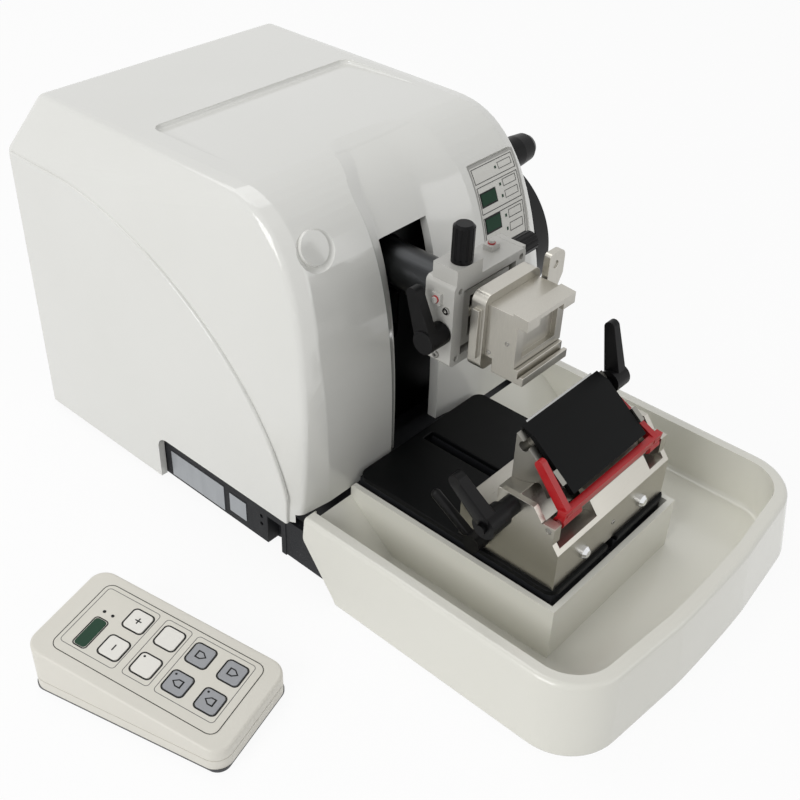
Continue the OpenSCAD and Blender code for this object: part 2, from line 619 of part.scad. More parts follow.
module zero_indicators() color("#b98a2e") in_frame() {
    box([head_x + 16, head_x + 26], [-67, -59], [axis_z + head_h / 2 + 0.02, axis_z + head_h / 2 + 4]);
    bar_z(2.4, axis_z + head_h / 2 + 3, axis_z + head_h / 2 + 7, [head_x + 21, -63]);
    box([head_x - head_w / 2 - 3, head_x - head_w / 2 - 0.02], [-70, -62], [axis_z + 16, axis_z + 25]);
    bar_x(2.4, head_x - head_w / 2 - 5.5, head_x - head_w / 2 - 2, [-66, axis_z + 20.5]);
}
module eccentric_lever() color("#1a1b1d") in_frame() {
    bar_x(tilt_pin_r, head_x - head_w / 2 - 2, head_x - 31.5, [-ring_y + 1, axis_z - 6]);
    bar_x(9, head_x - head_w / 2 - 21, head_x - head_w / 2 - 1, [-ring_y + 1, axis_z - 6]);
    arm(head_x - head_w / 2 - 20, head_x - head_w / 2 - 12, [-ring_y + 1, axis_z - 6],
        [-ring_y + 14, axis_z + 28], 8, 5);
}
module tilt_ring() color("#9fa3a7") in_frame() {
    difference() {
        box([head_x - 26, head_x + 26], [-ring_y - 5, -ring_y + 5], [axis_z - 23, axis_z + 23]);
        box([head_x - 19, head_x + 19], [-ring_y - 6, -ring_y + 6], [axis_z - 17, axis_z + 17]);
        bar_x(tilt_pin_r + run, head_x - 24, head_x + 24, [-ring_y, axis_z]);
    }
    for (s = [-1, 1]) bar_z(tilt_pin_r, axis_z + (s > 0 ? 22 : -31.5), axis_z + (s > 0 ? 31.5 : -22),
        [head_x, -ring_y]);
}
module adapter_frame() color("#b9bcbf") in_frame() {
    difference() {
        translate([head_x, -head_front - frame_gap, axis_z]) rotate([90, 0, 0]) linear_extrude(frame_t)
            round_rect(frame_w, frame_h, 7);
        translate([head_x, -frame_front + 3, axis_z]) rotate([90, 0, 0]) linear_extrude(9)
            round_rect(clamp_w - 6, 46, 4);
    }
    box([head_x - 12, head_x + 12], [-frame_front + 6, -ring_y + 7], [axis_z - 12, axis_z + 12]);
    bar_x(tilt_pin_r, head_x - 23.5, head_x + 23.5, [-ring_y, axis_z]);
    box([head_x - frame_w / 2 - 3, head_x - frame_w / 2 + 0.5], [-frame_front + 3, -frame_front + 9],
        [axis_z - 20, axis_z + 20]);
}
module knob(r, h) difference() {
    union() {
        cylinder(r = r, h = h - 2);
        translate([0, 0, h - 2]) cylinder(r1 = r, r2 = r - 2, h = 2);
    }
    for (i = [0 : 11]) rotate(30 * i) translate([r + 0.5, 0, 3]) cylinder(r = 1.1, h = h, $fn = 8);
}
module tilt_knob() color("#1a1b1d") in_frame() translate([knob_x, -ring_y, 0]) {
    translate([0, 0, axis_z + 28]) cylinder(r = 3, h = 20);
    translate([0, 0, axis_z + head_h / 2 + 12.1]) knob(8, 29);
}
module swivel_knob() color("#1a1b1d") in_frame() translate([0, -head_front + 14, axis_z + 24])
    rotate([0, 90, 0]) {
        translate([0, 0, head_x + 31]) cylinder(r = 3, h = 14);
        translate([0, 0, head_x + head_w / 2 + 2.1]) knob(8, 25);
    }
module clamp_body() color("#aeb1b4") in_frame() {
    difference() {
        union() {
            box([head_x - clamp_w / 2, head_x + clamp_w / 2], [-clamp_front, -frame_front - 0.02],
                [clamp_low + 12, clamp_top]);
            box([head_x - clamp_w / 2 + 3, head_x + clamp_w / 2 - 3], [-frame_front - 1, -frame_front + 2.9],
                [axis_z - 20, axis_z + 20]);
            box([head_x + clamp_w / 2 - 1, head_x + clamp_w / 2 + 10], [-frame_front - 16, -frame_front - 9],
                [axis_z - 6, axis_z + 12]);
        }
        box([head_x - 20, head_x + 20], [-clamp_front - 1, -clamp_front + 4], [clamp_low + 18, clamp_top - 9]);
        for (s = [-1, 1]) bar_z(2.5 + run, clamp_low + 10, clamp_low + 34, [head_x + 18 * s, -clamp_front + 12]);
        bar_y(3 + run, -frame_front - 17, -frame_front - 8, [clamp_pin, axis_z + 2]);
    }
    for (s = [-1, 1]) box([head_x + s * (clamp_w / 2 - 7) - 7, head_x + s * (clamp_w / 2 - 7) + 7],
        [-clamp_front - ear_t, -clamp_front + 0.5], [clamp_top - 8, clamp_top]);
    profile_x(head_x - clamp_w / 2, head_x + clamp_w / 2) polygon([[-clamp_front, clamp_top - 3],
        [-clamp_front - ear_t, clamp_top - 3], [-clamp_front - ear_t, clamp_top + 1], [-clamp_front + 5,
        clamp_top + 2], [-clamp_front + 5, clamp_top - 1]]);
}
module clamp_jaw() color("#aeb1b4") in_frame() {
    profile_x(head_x - clamp_w / 2 + 1, head_x + clamp_w / 2 - 1) polygon([[-frame_front - 6, clamp_low],
        [-clamp_front - ear_t, clamp_low], [-clamp_front - ear_t, clamp_low + 7], [-clamp_front - ear_t + 3,
        clamp_low + 7], [-clamp_front - 3, clamp_low + 4], [-clamp_front - 3, clamp_low + 11.5],
        [-frame_front - 6, clamp_low + 11.5]]);
    for (s = [-1, 1]) bar_z(2.5, clamp_low + 4, clamp_low + 28, [head_x + 18 * s, -clamp_front + 12]);
}
module clamp_lever() color("#1a1b1d") in_frame() {
    bar_y(3, -frame_front - 15, -frame_front - 7, [clamp_pin, axis_z + 2]);
    difference() {
        hull() {
            bar_y(4.6, -frame_front - 8, -frame_front - 2.5, [clamp_pin, axis_z + 2], $fn = 32);
            bar_y(3, -frame_front - 8, -frame_front - 2.5, [clamp_pin, axis_z + 39], $fn = 32);
            bar_y(7, -frame_front - 8, -frame_front - 2.5, [clamp_pin + 9, axis_z + 35], $fn = 32);
            bar_y(3, -frame_front - 8, -frame_front - 2.5, [clamp_pin + 13, axis_z + 22], $fn = 32);
        }
        bar_y(3, -frame_front - 9, -frame_front - 7, [clamp_pin + 5, axis_z + 32]);
    }
}

module guard_lug(x) difference() {
    profile_x(axis_x + x, axis_x + x + 8) polygon([[-holder_front + 10, foot_gap_z], [-guard_y - 5, guard_z - 10],
        [-guard_y - 5, guard_z + 4], [-guard_y + 5, guard_z + 4], [-holder_front + 18, guard_z - 6],
        [-holder_front + 18, foot_gap_z]]);
    bar_x(2.52, axis_x + x - 1, axis_x + x + 9, [-guard_y, guard_z]);
}
module holder_base() color("#a9acaf") in_frame() {
    difference() {
        profile_x(axis_x - holder_w / 2, axis_x + holder_w / 2) polygon([[-holder_back, hold_z],
            [-holder_back, bend_z], [-edge_y - 3, bend_z + 8], [-edge_y - 8, cheek_top],
            [-edge_y - 36, cheek_top], [-holder_front, bend_z], [-holder_front, hold_z]]);
        intersection() {
            bar_x(arc_r, axis_x - holder_w / 2 + 5, axis_x + holder_w / 2 - 5, [-edge_y, edge_z], $fn = 96);
            profile_x(axis_x - half, axis_x + half) polygon([[-edge_y, edge_z], [-edge_y + 90, edge_z],
                [-edge_y + 90, 60], [-edge_y - 87, 60]]);
        }
        box([axis_x - holder_w / 2 + 5, axis_x + holder_w / 2 - 5], [-holder_front - 9, -edge_y],
            [mid_top, 200]);
        box([axis_x - holder_w / 2 + 5, axis_x - holder_w / 2 + 51], [-holder_front - 9, -edge_y - 28],
            [foot_gap_z, 200]);
        box([axis_x + holder_w / 2 - 24, axis_x + holder_w / 2 - 5], [-holder_front - 9, -edge_y - 28],
            [foot_gap_z, 200]);
        bar_x(5 + run, axis_x - half, axis_x, shaft_at);
        bar_x(4 + run, axis_x - half, axis_x - holder_w / 2 + 16, low_shaft);
        for (x = [-38, 38]) bar_y(5, -holder_front - 1, -holder_front + 6, [axis_x + x, hold_z + 14]);
    }
    box([axis_x - groove_w / 2 + run, axis_x + groove_w / 2 - run], [-holder_front + 42, -holder_back - 4],
        [plate_z - 7, hold_z + 1]);
    guard_lug(-holder_w / 2);
    guard_lug(holder_w / 2 - 8);
}
module base_clamp_lever() color("#8f9397") in_frame() {
    bar_x(4, axis_x - holder_w / 2 - 14, axis_x - holder_w / 2 + 15.5, low_shaft);
    bar_x(7.5, axis_x - holder_w / 2 - 14, axis_x - holder_w / 2 - 2, low_shaft);
    hull() {
        bar_x(3, axis_x - holder_w / 2 - 12, axis_x - holder_w / 2 - 6, low_shaft, $fn = 24);
        translate([axis_x - holder_w / 2 - 9, low_shaft[0] + 38, low_shaft[1] + 22]) sphere(4, $fn = 16);
    }
}
module segment_arc() color("#b3b6b9") in_frame() difference() {
    intersection() {
        bar_x(seg_r, axis_x - seg_x, axis_x + seg_x, [-edge_y, edge_z], $fn = 96);
        profile_x(axis_x - half, axis_x + half) polygon([[-edge_y, edge_z], [-edge_y - 90 * sin(seg_rear),
            edge_z - 90 * cos(seg_rear)], [-edge_y - 30, 60], [-edge_y - 90 * sin(30), edge_z - 90 * cos(30)]]);
    }
    bar_x(seg_in, axis_x - half, axis_x + half, [-edge_y, edge_z], $fn = 96);
    for (x = [-30, 30]) bar_x(1.5, axis_x + x, axis_x + x + 1.5, [-edge_y - 12, edge_z - seg_in - 3]);
}
module segment_lever() color("#1a1b1d") in_frame() {
    bar_x(5, axis_x - holder_w / 2 - 14, axis_x - seg_x - 0.2, shaft_at);
    bar_x(7.5, axis_x - holder_w / 2 - 13, axis_x - holder_w / 2 - 0.3, shaft_at);
    bar_x(9.5, axis_x - holder_w / 2 - 33, axis_x - holder_w / 2 - 13.1, shaft_at);
    bar_x(4, axis_x - holder_w / 2 - 37, axis_x - holder_w / 2 - 32, shaft_at);
    hull() {
        bar_x(7, axis_x - holder_w / 2 - 31, axis_x - holder_w / 2 - 22, shaft_at, $fn = 32);
        bar_x(5, axis_x - holder_w / 2 - 44, axis_x - holder_w / 2 - 36, shaft_at + [19, 36], $fn = 32);
    }
}
module blade_carriage() color("#b3b6b9") in_frame() {
    carriage_body();
    carriage_cheeks();
}
module carriage_body() difference() {
    profile_x(axis_x - press_x - 5.5, axis_x + press_x + 5.5) polygon([[-edge_y - 2, edge_z - 2.8],
        [-edge_y - 2, 122], [-edge_y - 25, 122], [-edge_y - 35, 129], [-edge_y - 40, edge_z - 36],
        [-edge_y - 33, edge_z - 27], [-edge_y - 6, edge_z - 5.2]]);
    difference() {
        box([-half, half], [-holder_front, 0], [0, 137]);
        bar_x(seg_in - 0.05, -half, half, [-edge_y, edge_z], $fn = 96);
        profile_x(-half, half) polygon([[-edge_y, edge_z], [-edge_y - 68, edge_z - 90], [-300, edge_z]]);
    }
    bar_x(4 + run, axis_x, axis_x + half, press_at);
    bar_x(4 + run, axis_x - half, axis_x - press_x + 4, press_at);
}
module carriage_cheeks() on_slope() for (s = [-1, 1]) difference() {
    translate([axis_x + s * (press_x + 3) - 2.3, -51, -3.5]) cube([4.6, 12, 10]);
    translate([axis_x + s * (press_x + 3), hinge_u, hinge_v]) rotate([0, 90, 0]) cylinder(r = 2.05, h = 9,
        center = true);
}
module blade() color("#dfe2e4") in_frame() on_slope() translate([axis_x, 0, 0]) linear_extrude(0.35)
    polygon([[-40, -9], [-40, 0], [40, 0], [40, -9]]);
module pressure_plate() color("#c3c6c8") in_frame() on_slope() {
    translate([axis_x - press_x + 0.5, 0, 0]) rotate([90, 0, 90]) linear_extrude(press_w - 1) polygon([
        [-1.4, 0.5], [-3, 1.2], [-12, press_t], [-press_l, press_t], [-press_l, 1], [-11, 1], [-9.5, 0.5]]);
    translate([axis_x - press_x - 4.8, hinge_u, hinge_v]) rotate([0, 90, 0]) cylinder(r = 2, h = 6);
    translate([axis_x + press_x - 1.2, hinge_u, hinge_v]) rotate([0, 90, 0]) cylinder(r = 2, h = 6);
}
module blade_lever() color("#1a1b1d") in_frame() {
    bar_x(4, axis_x + press_x - 6, axis_x + press_x + 8, press_at);
    bar_x(9, axis_x + press_x + 6, axis_x + press_x + 22, press_at);
    hull() {
        bar_x(7, axis_x + press_x + 11, axis_x + press_x + 20, press_at, $fn = 32);
        bar_x(4.5, axis_x + press_x + 14, axis_x + press_x + 21, press_at + [11, 40], $fn = 32);
    }
}
module guard_pin() color("#c9ccd0") in_frame() {
    bar_x(2.5, axis_x - holder_w / 2 + 0.5, axis_x + holder_w / 2 - 0.5, [-guard_y, guard_z]);
}
module finger_guard() color("#b5231d") in_frame() {
    difference() {
        union() {
            bar_x(4.6, axis_x - holder_w / 2 + 12, axis_x - holder_w / 2 + 34, [-guard_y, guard_z]);
            bar_x(4.6, axis_x + holder_w / 2 - 22, axis_x + holder_w / 2 - 9, [-guard_y, guard_z]);
            profile_x(axis_x - holder_w / 2 + 12, axis_x + holder_w / 2 - 9) polygon([
                [-guard_y - 4, guard_z + 3], [-guard_y - 5.5, guard_z + 11], [-guard_y, guard_z + 11.5],
                [-guard_y + 1.5, guard_z + 6], [-guard_y - 0.5, guard_z + 3.4]]);
        }
        bar_x(2.5 + run, -half, half, [-guard_y, guard_z]);
    }
    arm(axis_x - press_x - 12, axis_x - press_x - 6.5, [-guard_y - 1.5, guard_z + 8],
        [-edge_y - 27, edge_z - 14], 4, 3.6);
    arm(axis_x + press_x + 6.5, axis_x + press_x + 12, [-guard_y - 1.5, guard_z + 8],
        [-edge_y - 17, edge_z - 26], 4, 3.6);
    box([axis_x - press_x - 14, axis_x - press_x - 6.5], [-guard_y - 4, -guard_y + 2], [guard_z + 4, guard_z + 11]);
    box([axis_x + press_x + 6.5, axis_x + press_x + 14], [-guard_y - 4, -guard_y + 2], [guard_z + 4, guard_z + 11]);
}
module holder_screws() color("#d3d5d8") in_frame() for (x = [-38, 38])
    translate([axis_x + x, -holder_front + 5.9, hold_z + 14]) rotate([90, 0, 0]) {
        cylinder(r = 4.9, h = 8);
        translate([0, 0, 8]) cylinder(r1 = 4.9, r2 = 3, h = 2.5);
    }

module at_unit() translate([unit_x, unit_y, 0]) rotate([0, 0, unit_turn]) children();
module on_unit() at_unit() translate([0, 0, (unit_h1 + unit_h2) / 2]) rotate([unit_slope, 0, 0]) children();
module unit_side(in) polygon([[-unit_l / 2 + in, 4], [-unit_l / 2 + in, unit_h2 - 4 - in],
    [-unit_l / 2 + 4 + in, unit_h2 - in + 0.5], [unit_l / 2 - 4 - in, unit_h1 - in - 0.5],
    [unit_l / 2 - in, unit_h1 - 5 - in], [unit_l / 2 - in, 4]]);
module unit_shell() color("#e4e1d6") in_frame() difference() {
    at_unit() intersection() {
        linear_extrude(60) round_rect(unit_w, unit_l, 10);
        profile_x(-unit_w, unit_w) unit_side(0);
    }
    at_unit() intersection() {
        translate([0, 0, 3]) linear_extrude(60) round_rect(unit_w - 5, unit_l - 5, 8);
        profile_x(-unit_w, unit_w) unit_side(2.5);
        translate([0, 0, 3]) linear_extrude(60) round_rect(unit_w - 5, unit_l - 5, 8);
    }
    at_unit() translate([0, 0, 3]) linear_extrude(3) round_rect(unit_w - 5, unit_l - 5, 8);
    for (x = key_cols, y = key_rows) on_unit() translate([x - key_w / 2 - play, y - key_d / 2 - play, -9])
        cube([key_w + 2 * play, key_d + 2 * play, 20]);
    on_unit() translate([-24, 44, -9]) cube([30, 12, 20]);
}
module unit_underside() color("#4a4b4e") in_frame() at_unit() {
    translate([0, 0, 1.5]) linear_extrude(2.5) round_rect(unit_w - 1, unit_l - 1, 9.5);
    translate([0, 0, 3.9]) linear_extrude(2) round_rect(unit_w - 5.4, unit_l - 5.4, 7.8);
    translate([-33, -66, 5.8]) cube([66, 112, 6]);
    for (x = key_cols, y = key_rows) translate([x - 2, y - 3, 11]) cube([4, 6, key_post(y) - 11]);
    for (x = [-34, 34], y = [-72, 72]) translate([x, y, 0]) cylinder(r = 6, h = 1.6);
}
module unit_display() color("#2b3a2a") in_frame() on_unit() {
    translate([-23.9, 44.1, -4]) cube([29.8, 11.8, 3.6]);
}
module key_cap(x, y) on_unit() translate([x, y, -4.5]) {
    linear_extrude(6) round_rect(key_w, key_d, 2);
    translate([0, 0, 5.9]) linear_extrude(0.7) round_rect(key_w - 2, key_d - 2, 2);
}
module key_plus() color("#efede6") in_frame() key_cap(key_cols[1], key_rows[0]);
module key_minus() color("#efede6") in_frame() key_cap(key_cols[0], key_rows[0]);
module key_set() color("#efede6") in_frame() key_cap(key_cols[1], key_rows[1]);
module key_enter() color("#efede6") in_frame() key_cap(key_cols[0], key_rows[1]);
module key_up_slow() color("#8d8f92") in_frame() key_cap(key_cols[1], key_rows[2]);
module key_up_fast() color("#8d8f92") in_frame() key_cap(key_cols[1], key_rows[3]);
module key_down_slow() color("#8d8f92") in_frame() key_cap(key_cols[0], key_rows[2]);
module key_down_fast() color("#8d8f92") in_frame() key_cap(key_cols[0], key_rows[3]);

base_casting();
knife_base_plate();
main_cover();
rear_panel();
power_switch();
rear_sockets();
blank_cap();
slot_cover();
panel_foil();
panel_displays();
waste_tray();
rubber_feet();
guide_rods();
shaft_bearings();
main_shaft();
crank_disc();
crank_roller();
handwheel();
grip_axle();
grip();
lock_lever();
carriage();
feed_motor();
feed_screw();
feed_cylinder();
feed_nut();
power_supply();
circuit_board();
head_block();
zero_indicators();
eccentric_lever();
tilt_ring();
adapter_frame();
tilt_knob();
swivel_knob();
clamp_body();
clamp_jaw();
clamp_lever();
holder_base();
base_clamp_lever();
segment_arc();
segment_lever();
blade_carriage();
blade();
pressure_plate();
blade_lever();
finger_guard();
guard_pin();
holder_screws();
unit_shell();
unit_underside();
unit_display();
key_plus();
key_minus();
key_set();
key_enter();
key_up_slow();
key_up_fast();
key_down_slow();
key_down_fast();
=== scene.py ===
# Rotary microtome: finishes, rounded pieces, small fittings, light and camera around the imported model.
import json
import math

import bpy
from mathutils import Matrix, Vector


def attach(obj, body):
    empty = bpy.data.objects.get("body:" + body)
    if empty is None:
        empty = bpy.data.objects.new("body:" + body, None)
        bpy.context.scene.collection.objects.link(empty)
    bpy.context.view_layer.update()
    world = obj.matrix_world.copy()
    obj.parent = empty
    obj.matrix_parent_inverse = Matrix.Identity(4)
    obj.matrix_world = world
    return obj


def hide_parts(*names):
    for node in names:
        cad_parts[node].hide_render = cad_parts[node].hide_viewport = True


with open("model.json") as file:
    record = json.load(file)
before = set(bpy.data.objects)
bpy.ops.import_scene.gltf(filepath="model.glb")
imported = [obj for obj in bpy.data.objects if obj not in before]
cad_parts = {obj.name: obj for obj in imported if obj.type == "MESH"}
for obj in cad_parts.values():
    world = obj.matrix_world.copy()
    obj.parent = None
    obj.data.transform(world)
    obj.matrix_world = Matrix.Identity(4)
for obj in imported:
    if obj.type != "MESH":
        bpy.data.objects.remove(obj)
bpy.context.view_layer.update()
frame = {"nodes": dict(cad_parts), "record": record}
NODES = frame["nodes"]
RIDES = {node: body for body, nodes in frame["record"]["behaviour"]["bodies"].items() for node in nodes}
MM = 0.001

# The drawing is laid out from the middle of the housing and the front corner of its base, in millimetres;
# its zero stands here in the frame.
ZERO = Vector((129, -26, 0))


# ---------------------------------------------------------------- small helpers

def at(x, y, z):
    """A point of the drawing, in metres in the frame."""
    return (Vector((x, y, z)) + ZERO) * MM


def linear(hex_colour):
    """An sRGB hex colour as linear RGBA."""
    parts = [int(hex_colour[i:i + 2], 16) / 255 for i in (1, 3, 5)]
    return tuple(p / 12.92 if p <= 0.04045 else ((p + 0.055) / 1.055) ** 2.4 for p in parts) + (1.0,)


def add_node(tree, kind, inputs=None, **settings):
    """A node with its settings, and its sockets set or linked."""
    made = tree.nodes.new(kind)
    for name, value in settings.items():
        setattr(made, name, value)
    for socket, value in (inputs or {}).items():
        if isinstance(value, bpy.types.NodeSocket):
            tree.links.new(value, made.inputs[socket])
        else:
            made.inputs[socket].default_value = value
    return made


def pick_only(*pieces):
    """Deselects everything else, and makes the first piece the active one."""
    bpy.ops.object.select_all(action="DESELECT")
    for piece in pieces:
        piece.select_set(True)
    bpy.context.view_layer.objects.active = pieces[0]


def drawn(points, edges=(), faces=()):
    """A new piece from points in metres, with lines or flat faces between them, to be shaped further."""
    mesh = bpy.data.meshes.new("drawn")
    piece = bpy.data.objects.new("drawn", mesh)
    bpy.context.scene.collection.objects.link(piece)
    mesh.from_pydata([tuple(point) for point in points], [tuple(edge) for edge in edges],
                     [tuple(face) for face in faces])
    return piece


def edited(piece, *steps):
    """Runs edit-mode operators on all of a piece, one after the other, and turns its faces outwards."""
    pick_only(piece)
    bpy.ops.object.mode_set(mode="EDIT")
    for operator, settings in (*steps, (bpy.ops.mesh.normals_make_consistent, {"inside": False})):
        bpy.ops.mesh.select_all(action="SELECT")
        operator(**settings)
    bpy.ops.object.mode_set(mode="OBJECT")
    return piece


def raised(shift):
    """The step that extrudes what is selected by a vector in metres."""
    return bpy.ops.mesh.extrude_region_move, {"TRANSFORM_OT_translate": {"value": shift}}


def apply_modifier(piece, kind, **settings):
    """Adds one modifier to a piece and applies it."""
    pick_only(piece)
    made = piece.modifiers.new(kind.title(), kind)
    for name, value in settings.items():
        setattr(made, name, value)
    bpy.ops.object.modifier_apply(modifier=made.name)


def cut_away(piece, tool, operation="DIFFERENCE"):
    """Cuts a tool out of a piece, or joins the two or keeps what they share, and takes the tool away."""
    apply_modifier(piece, "BOOLEAN", operation=operation, object=tool, solver="EXACT")
    bpy.data.objects.remove(tool, do_unlink=True)


def smooth(piece, degrees=35):
    """Soft shading across shallow turns, weighted by face area so that big flats stay flat."""
    pick_only(piece)
    bpy.ops.object.shade_smooth_by_angle(angle=math.radians(degrees), keep_sharp_edges=True)
    apply_modifier(piece, "WEIGHTED_NORMAL", keep_sharp=True, weight=60)
    return piece


def seat(piece, name, node, material, replaced=False):
    """Names a finished piece, gives it its finish and hangs it on the body of the node it dresses.
    A piece that stands where the node is replaces it."""
    piece.name = name
    piece.data.name = name
    piece.data.materials.clear()
    piece.data.materials.append(material)
    for face in piece.data.polygons:
        face.material_index = 0
    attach(piece, RIDES[node])
    if replaced:
        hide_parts(node)


def prism(outline, low, high, axis="X"):
    """A solid with a flat outline in the drawing's millimetres, drawn out along one axis.
    The outline is (y, z) along X and (x, y) along Z."""
    places = {"X": lambda a, b, c: at(c, a, b), "Z": lambda a, b, c: at(a, b, c)}
    place = places[axis]
    flat = drawn([place(a, b, low) for a, b in outline], faces=[range(len(outline))])
    return edited(flat, raised(place(0, 0, high) - place(0, 0, low)))


def flat_shape(outline, low, high):
    """A solid from an (x, y) outline between two levels."""
    return prism(outline, low, high, "Z")


def block(x, y, z):
    """A plain box between pairs of drawing values, as a tool."""
    return flat_shape([(x[0], y[0]), (x[1], y[0]), (x[1], y[1]), (x[0], y[1])], z[0], z[1])


def lofted(loops):
    """A closed skin through loops of drawing points, one after the other, with flat ends."""
    count = len(loops[0])
    last = count * (len(loops) - 1)
    skin = [(k + i, k + (i + 1) % count, k + count + (i + 1) % count, k + count + i)
            for k in range(0, last, count) for i in range(count)]
    ends = [range(count), range(last, last + count)]
    return edited(drawn([at(*point) for loop in loops for point in loop], faces=skin + ends))


def round_outline(width, depth, radius, steps=6, middle=(0, 0)):
    """A rounded rectangle as points."""
    points = []
    for corner, (sx, sy) in enumerate(((1, 1), (-1, 1), (-1, -1), (1, -1))):
        for i in range(steps + 1):
            turn = math.radians(90 * corner + 90 * i / steps)
            points.append((middle[0] + sx * (width / 2 - radius) + radius * math.cos(turn),
                           middle[1] + sy * (depth / 2 - radius) + radius * math.sin(turn)))
    return points


def rounded(piece, width, segments=3, degrees=30):
    """Edges rounded as moulding and machining leave them."""
    apply_modifier(piece, "BEVEL", width=width * MM, segments=segments, limit_method="ANGLE",
                   angle_limit=math.radians(degrees), miter_outer="MITER_ARC", use_clamp_overlap=True)
    return piece


def solid_of(node):
    """A merged copy of a node's solid, with the joints between its flat faces dissolved."""
    mesh = NODES[node].data.copy()
    piece = bpy.data.objects.new(node + "_copy", mesh)
    bpy.context.scene.collection.objects.link(piece)
    pick_only(piece)
    bpy.ops.object.mode_set(mode="EDIT")
    bpy.ops.mesh.select_all(action="SELECT")
    bpy.ops.mesh.remove_doubles(threshold=2e-6)
    bpy.ops.mesh.dissolve_limited(angle_limit=math.radians(0.6))
    bpy.ops.object.mode_set(mode="OBJECT")
    return piece


def turned(outline, middle, axis="X", steps=48):
    """A turned solid: (along, radius) pairs in millimetres spun about an axis through a point."""
    turns = {"X": (0, "Z"), "-X": (180, "Z"), "-Y": (-90, "Z"), "Z": (-90, "Y")}
    degrees, about = turns[axis]
    line = drawn([(along * MM, 0, radius * MM) for along, radius in outline],
                 edges=[(i, i + 1) for i in range(len(outline) - 1)])
    piece = edited(line, (bpy.ops.mesh.spin, {"steps": steps, "angle": math.tau, "center": (0, 0, 0),
                                              "axis": (1, 0, 0)}),
                   (bpy.ops.mesh.remove_doubles, {"threshold": 1e-6}))
    piece.data.transform(Matrix.Translation(at(*middle)) @ Matrix.Rotation(math.radians(degrees), 4, about))
    return piece


def placed(piece, face, middle=(0, 0), turn=0):
    """Moves a piece that was made round the drawing's zero onto a face, given as a matrix."""
    piece.data.transform(Matrix.Translation(-at(0, 0, 0)))
    piece.data.transform(face @ Matrix.Translation(Vector((*middle, 0)) * MM)
                         @ Matrix.Rotation(math.radians(turn), 4, "Z"))
    return piece


def joined(pieces):
    """One piece from several."""
    pick_only(*pieces)
    bpy.ops.object.join()
    return pieces[0]


def start_material(name):
    """A new material with its node tree, its surface shader and the object's own coordinates."""
    made = bpy.data.materials.new(name)
    made.use_nodes = True
    tree = made.node_tree
    surface = tree.nodes["Principled BSDF"]
    place = add_node(tree, "ShaderNodeTexCoord").outputs["Object"]
    return made, tree, surface, place


def moulded_paint(name, colour, shade, rough, peel_mm=1.6, peel=0.02, coat=0.0, sheen=0.5):
    """Sprayed and moulded skins: a faint orange peel and slow drifts of tone keep big faces alive."""
    made, tree, surface, place = start_material(name)
    drift = add_node(tree, "ShaderNodeTexNoise", {"Vector": place, "Scale": 9.0, "Detail": 3.0})
    tone = add_node(tree, "ShaderNodeMix", {"Factor": drift.outputs["Fac"], "A": linear(colour),
                                            "B": linear(shade)}, data_type="RGBA")
    tree.links.new(tone.outputs["Result"], surface.inputs["Base Color"])
    wear = add_node(tree, "ShaderNodeTexNoise", {"Vector": place, "Scale": 55.0, "Detail": 4.0})
    gloss = add_node(tree, "ShaderNodeMapRange", {"Value": wear.outputs["Fac"], "To Min": rough * 0.8,
                                                  "To Max": rough * 1.25})
    tree.links.new(gloss.outputs["Result"], surface.inputs["Roughness"])
    skin = add_node(tree, "ShaderNodeTexNoise", {"Vector": place, "Scale": 1000 / peel_mm, "Detail": 2.0})
    bump = add_node(tree, "ShaderNodeBump", {"Height": skin.outputs["Fac"], "Strength": peel,
                                             "Distance": 0.0006})
    tree.links.new(bump.outputs["Normal"], surface.inputs["Normal"])
    surface.inputs["IOR"].default_value = 1.5
    surface.inputs["Specular IOR Level"].default_value = sheen
    surface.inputs["Coat Weight"].default_value = coat
    surface.inputs["Coat Roughness"].default_value = 0.08
    return made


STRETCH = 40


def brushed_metal(name, colour, shade, rough, along=(1, STRETCH, STRETCH), line_mm=0.9, depth=0.06):
    """Machined or brushed metal: fine lines along one axis that stretch the reflections."""
    made, tree, surface, place = start_material(name)
    lay = add_node(tree, "ShaderNodeMapping", {"Vector": place, "Scale": along})
    # Across the lines the mapping already multiplies by STRETCH.
    lines = add_node(tree, "ShaderNodeTexNoise", {"Vector": lay.outputs["Vector"],
                                                  "Scale": 1000 / line_mm / STRETCH, "Detail": 6.0})
    drift = add_node(tree, "ShaderNodeTexNoise", {"Vector": place, "Scale": 22.0, "Detail": 3.0})
    blend = add_node(tree, "ShaderNodeMath", {0: lines.outputs["Fac"], 1: drift.outputs["Fac"]},
                     operation="MULTIPLY")
    tone = add_node(tree, "ShaderNodeMix", {"Factor": blend.outputs["Value"], "A": linear(colour),
                                            "B": linear(shade)}, data_type="RGBA")
    tree.links.new(tone.outputs["Result"], surface.inputs["Base Color"])
    gloss = add_node(tree, "ShaderNodeMapRange", {"Value": lines.outputs["Fac"], "To Min": rough * 0.75,
                                                  "To Max": rough * 1.3})
    tree.links.new(gloss.outputs["Result"], surface.inputs["Roughness"])
    bump = add_node(tree, "ShaderNodeBump", {"Height": lines.outputs["Fac"], "Strength": depth,
                                             "Distance": 0.0004})
    tree.links.new(bump.outputs["Normal"], surface.inputs["Normal"])
    surface.inputs["Metallic"].default_value = 1.0
    return made


# ---------------------------------------------------------------- finishes

# Polyurethane foam housing with a sprayed gloss topcoat: warm white, tight highlights.
gloss_housing = moulded_paint("sprayed_housing_gloss", "#e4e4e0", "#dfdfda", 0.14, peel=0.012, coat=0.45)
# The tray is the same topcoat, a little creamier from stain and wiping.
gloss_tray = moulded_paint("sprayed_tray_gloss", "#e5e4dc", "#dfded4", 0.2, peel=0.012, coat=0.3)
# Cast base with a fine texture paint.
texture_paint = moulded_paint("texture_painted_casting", "#1b1c1e", "#222326", 0.55,
                              peel_mm=1.2, peel=0.35, sheen=0.2)
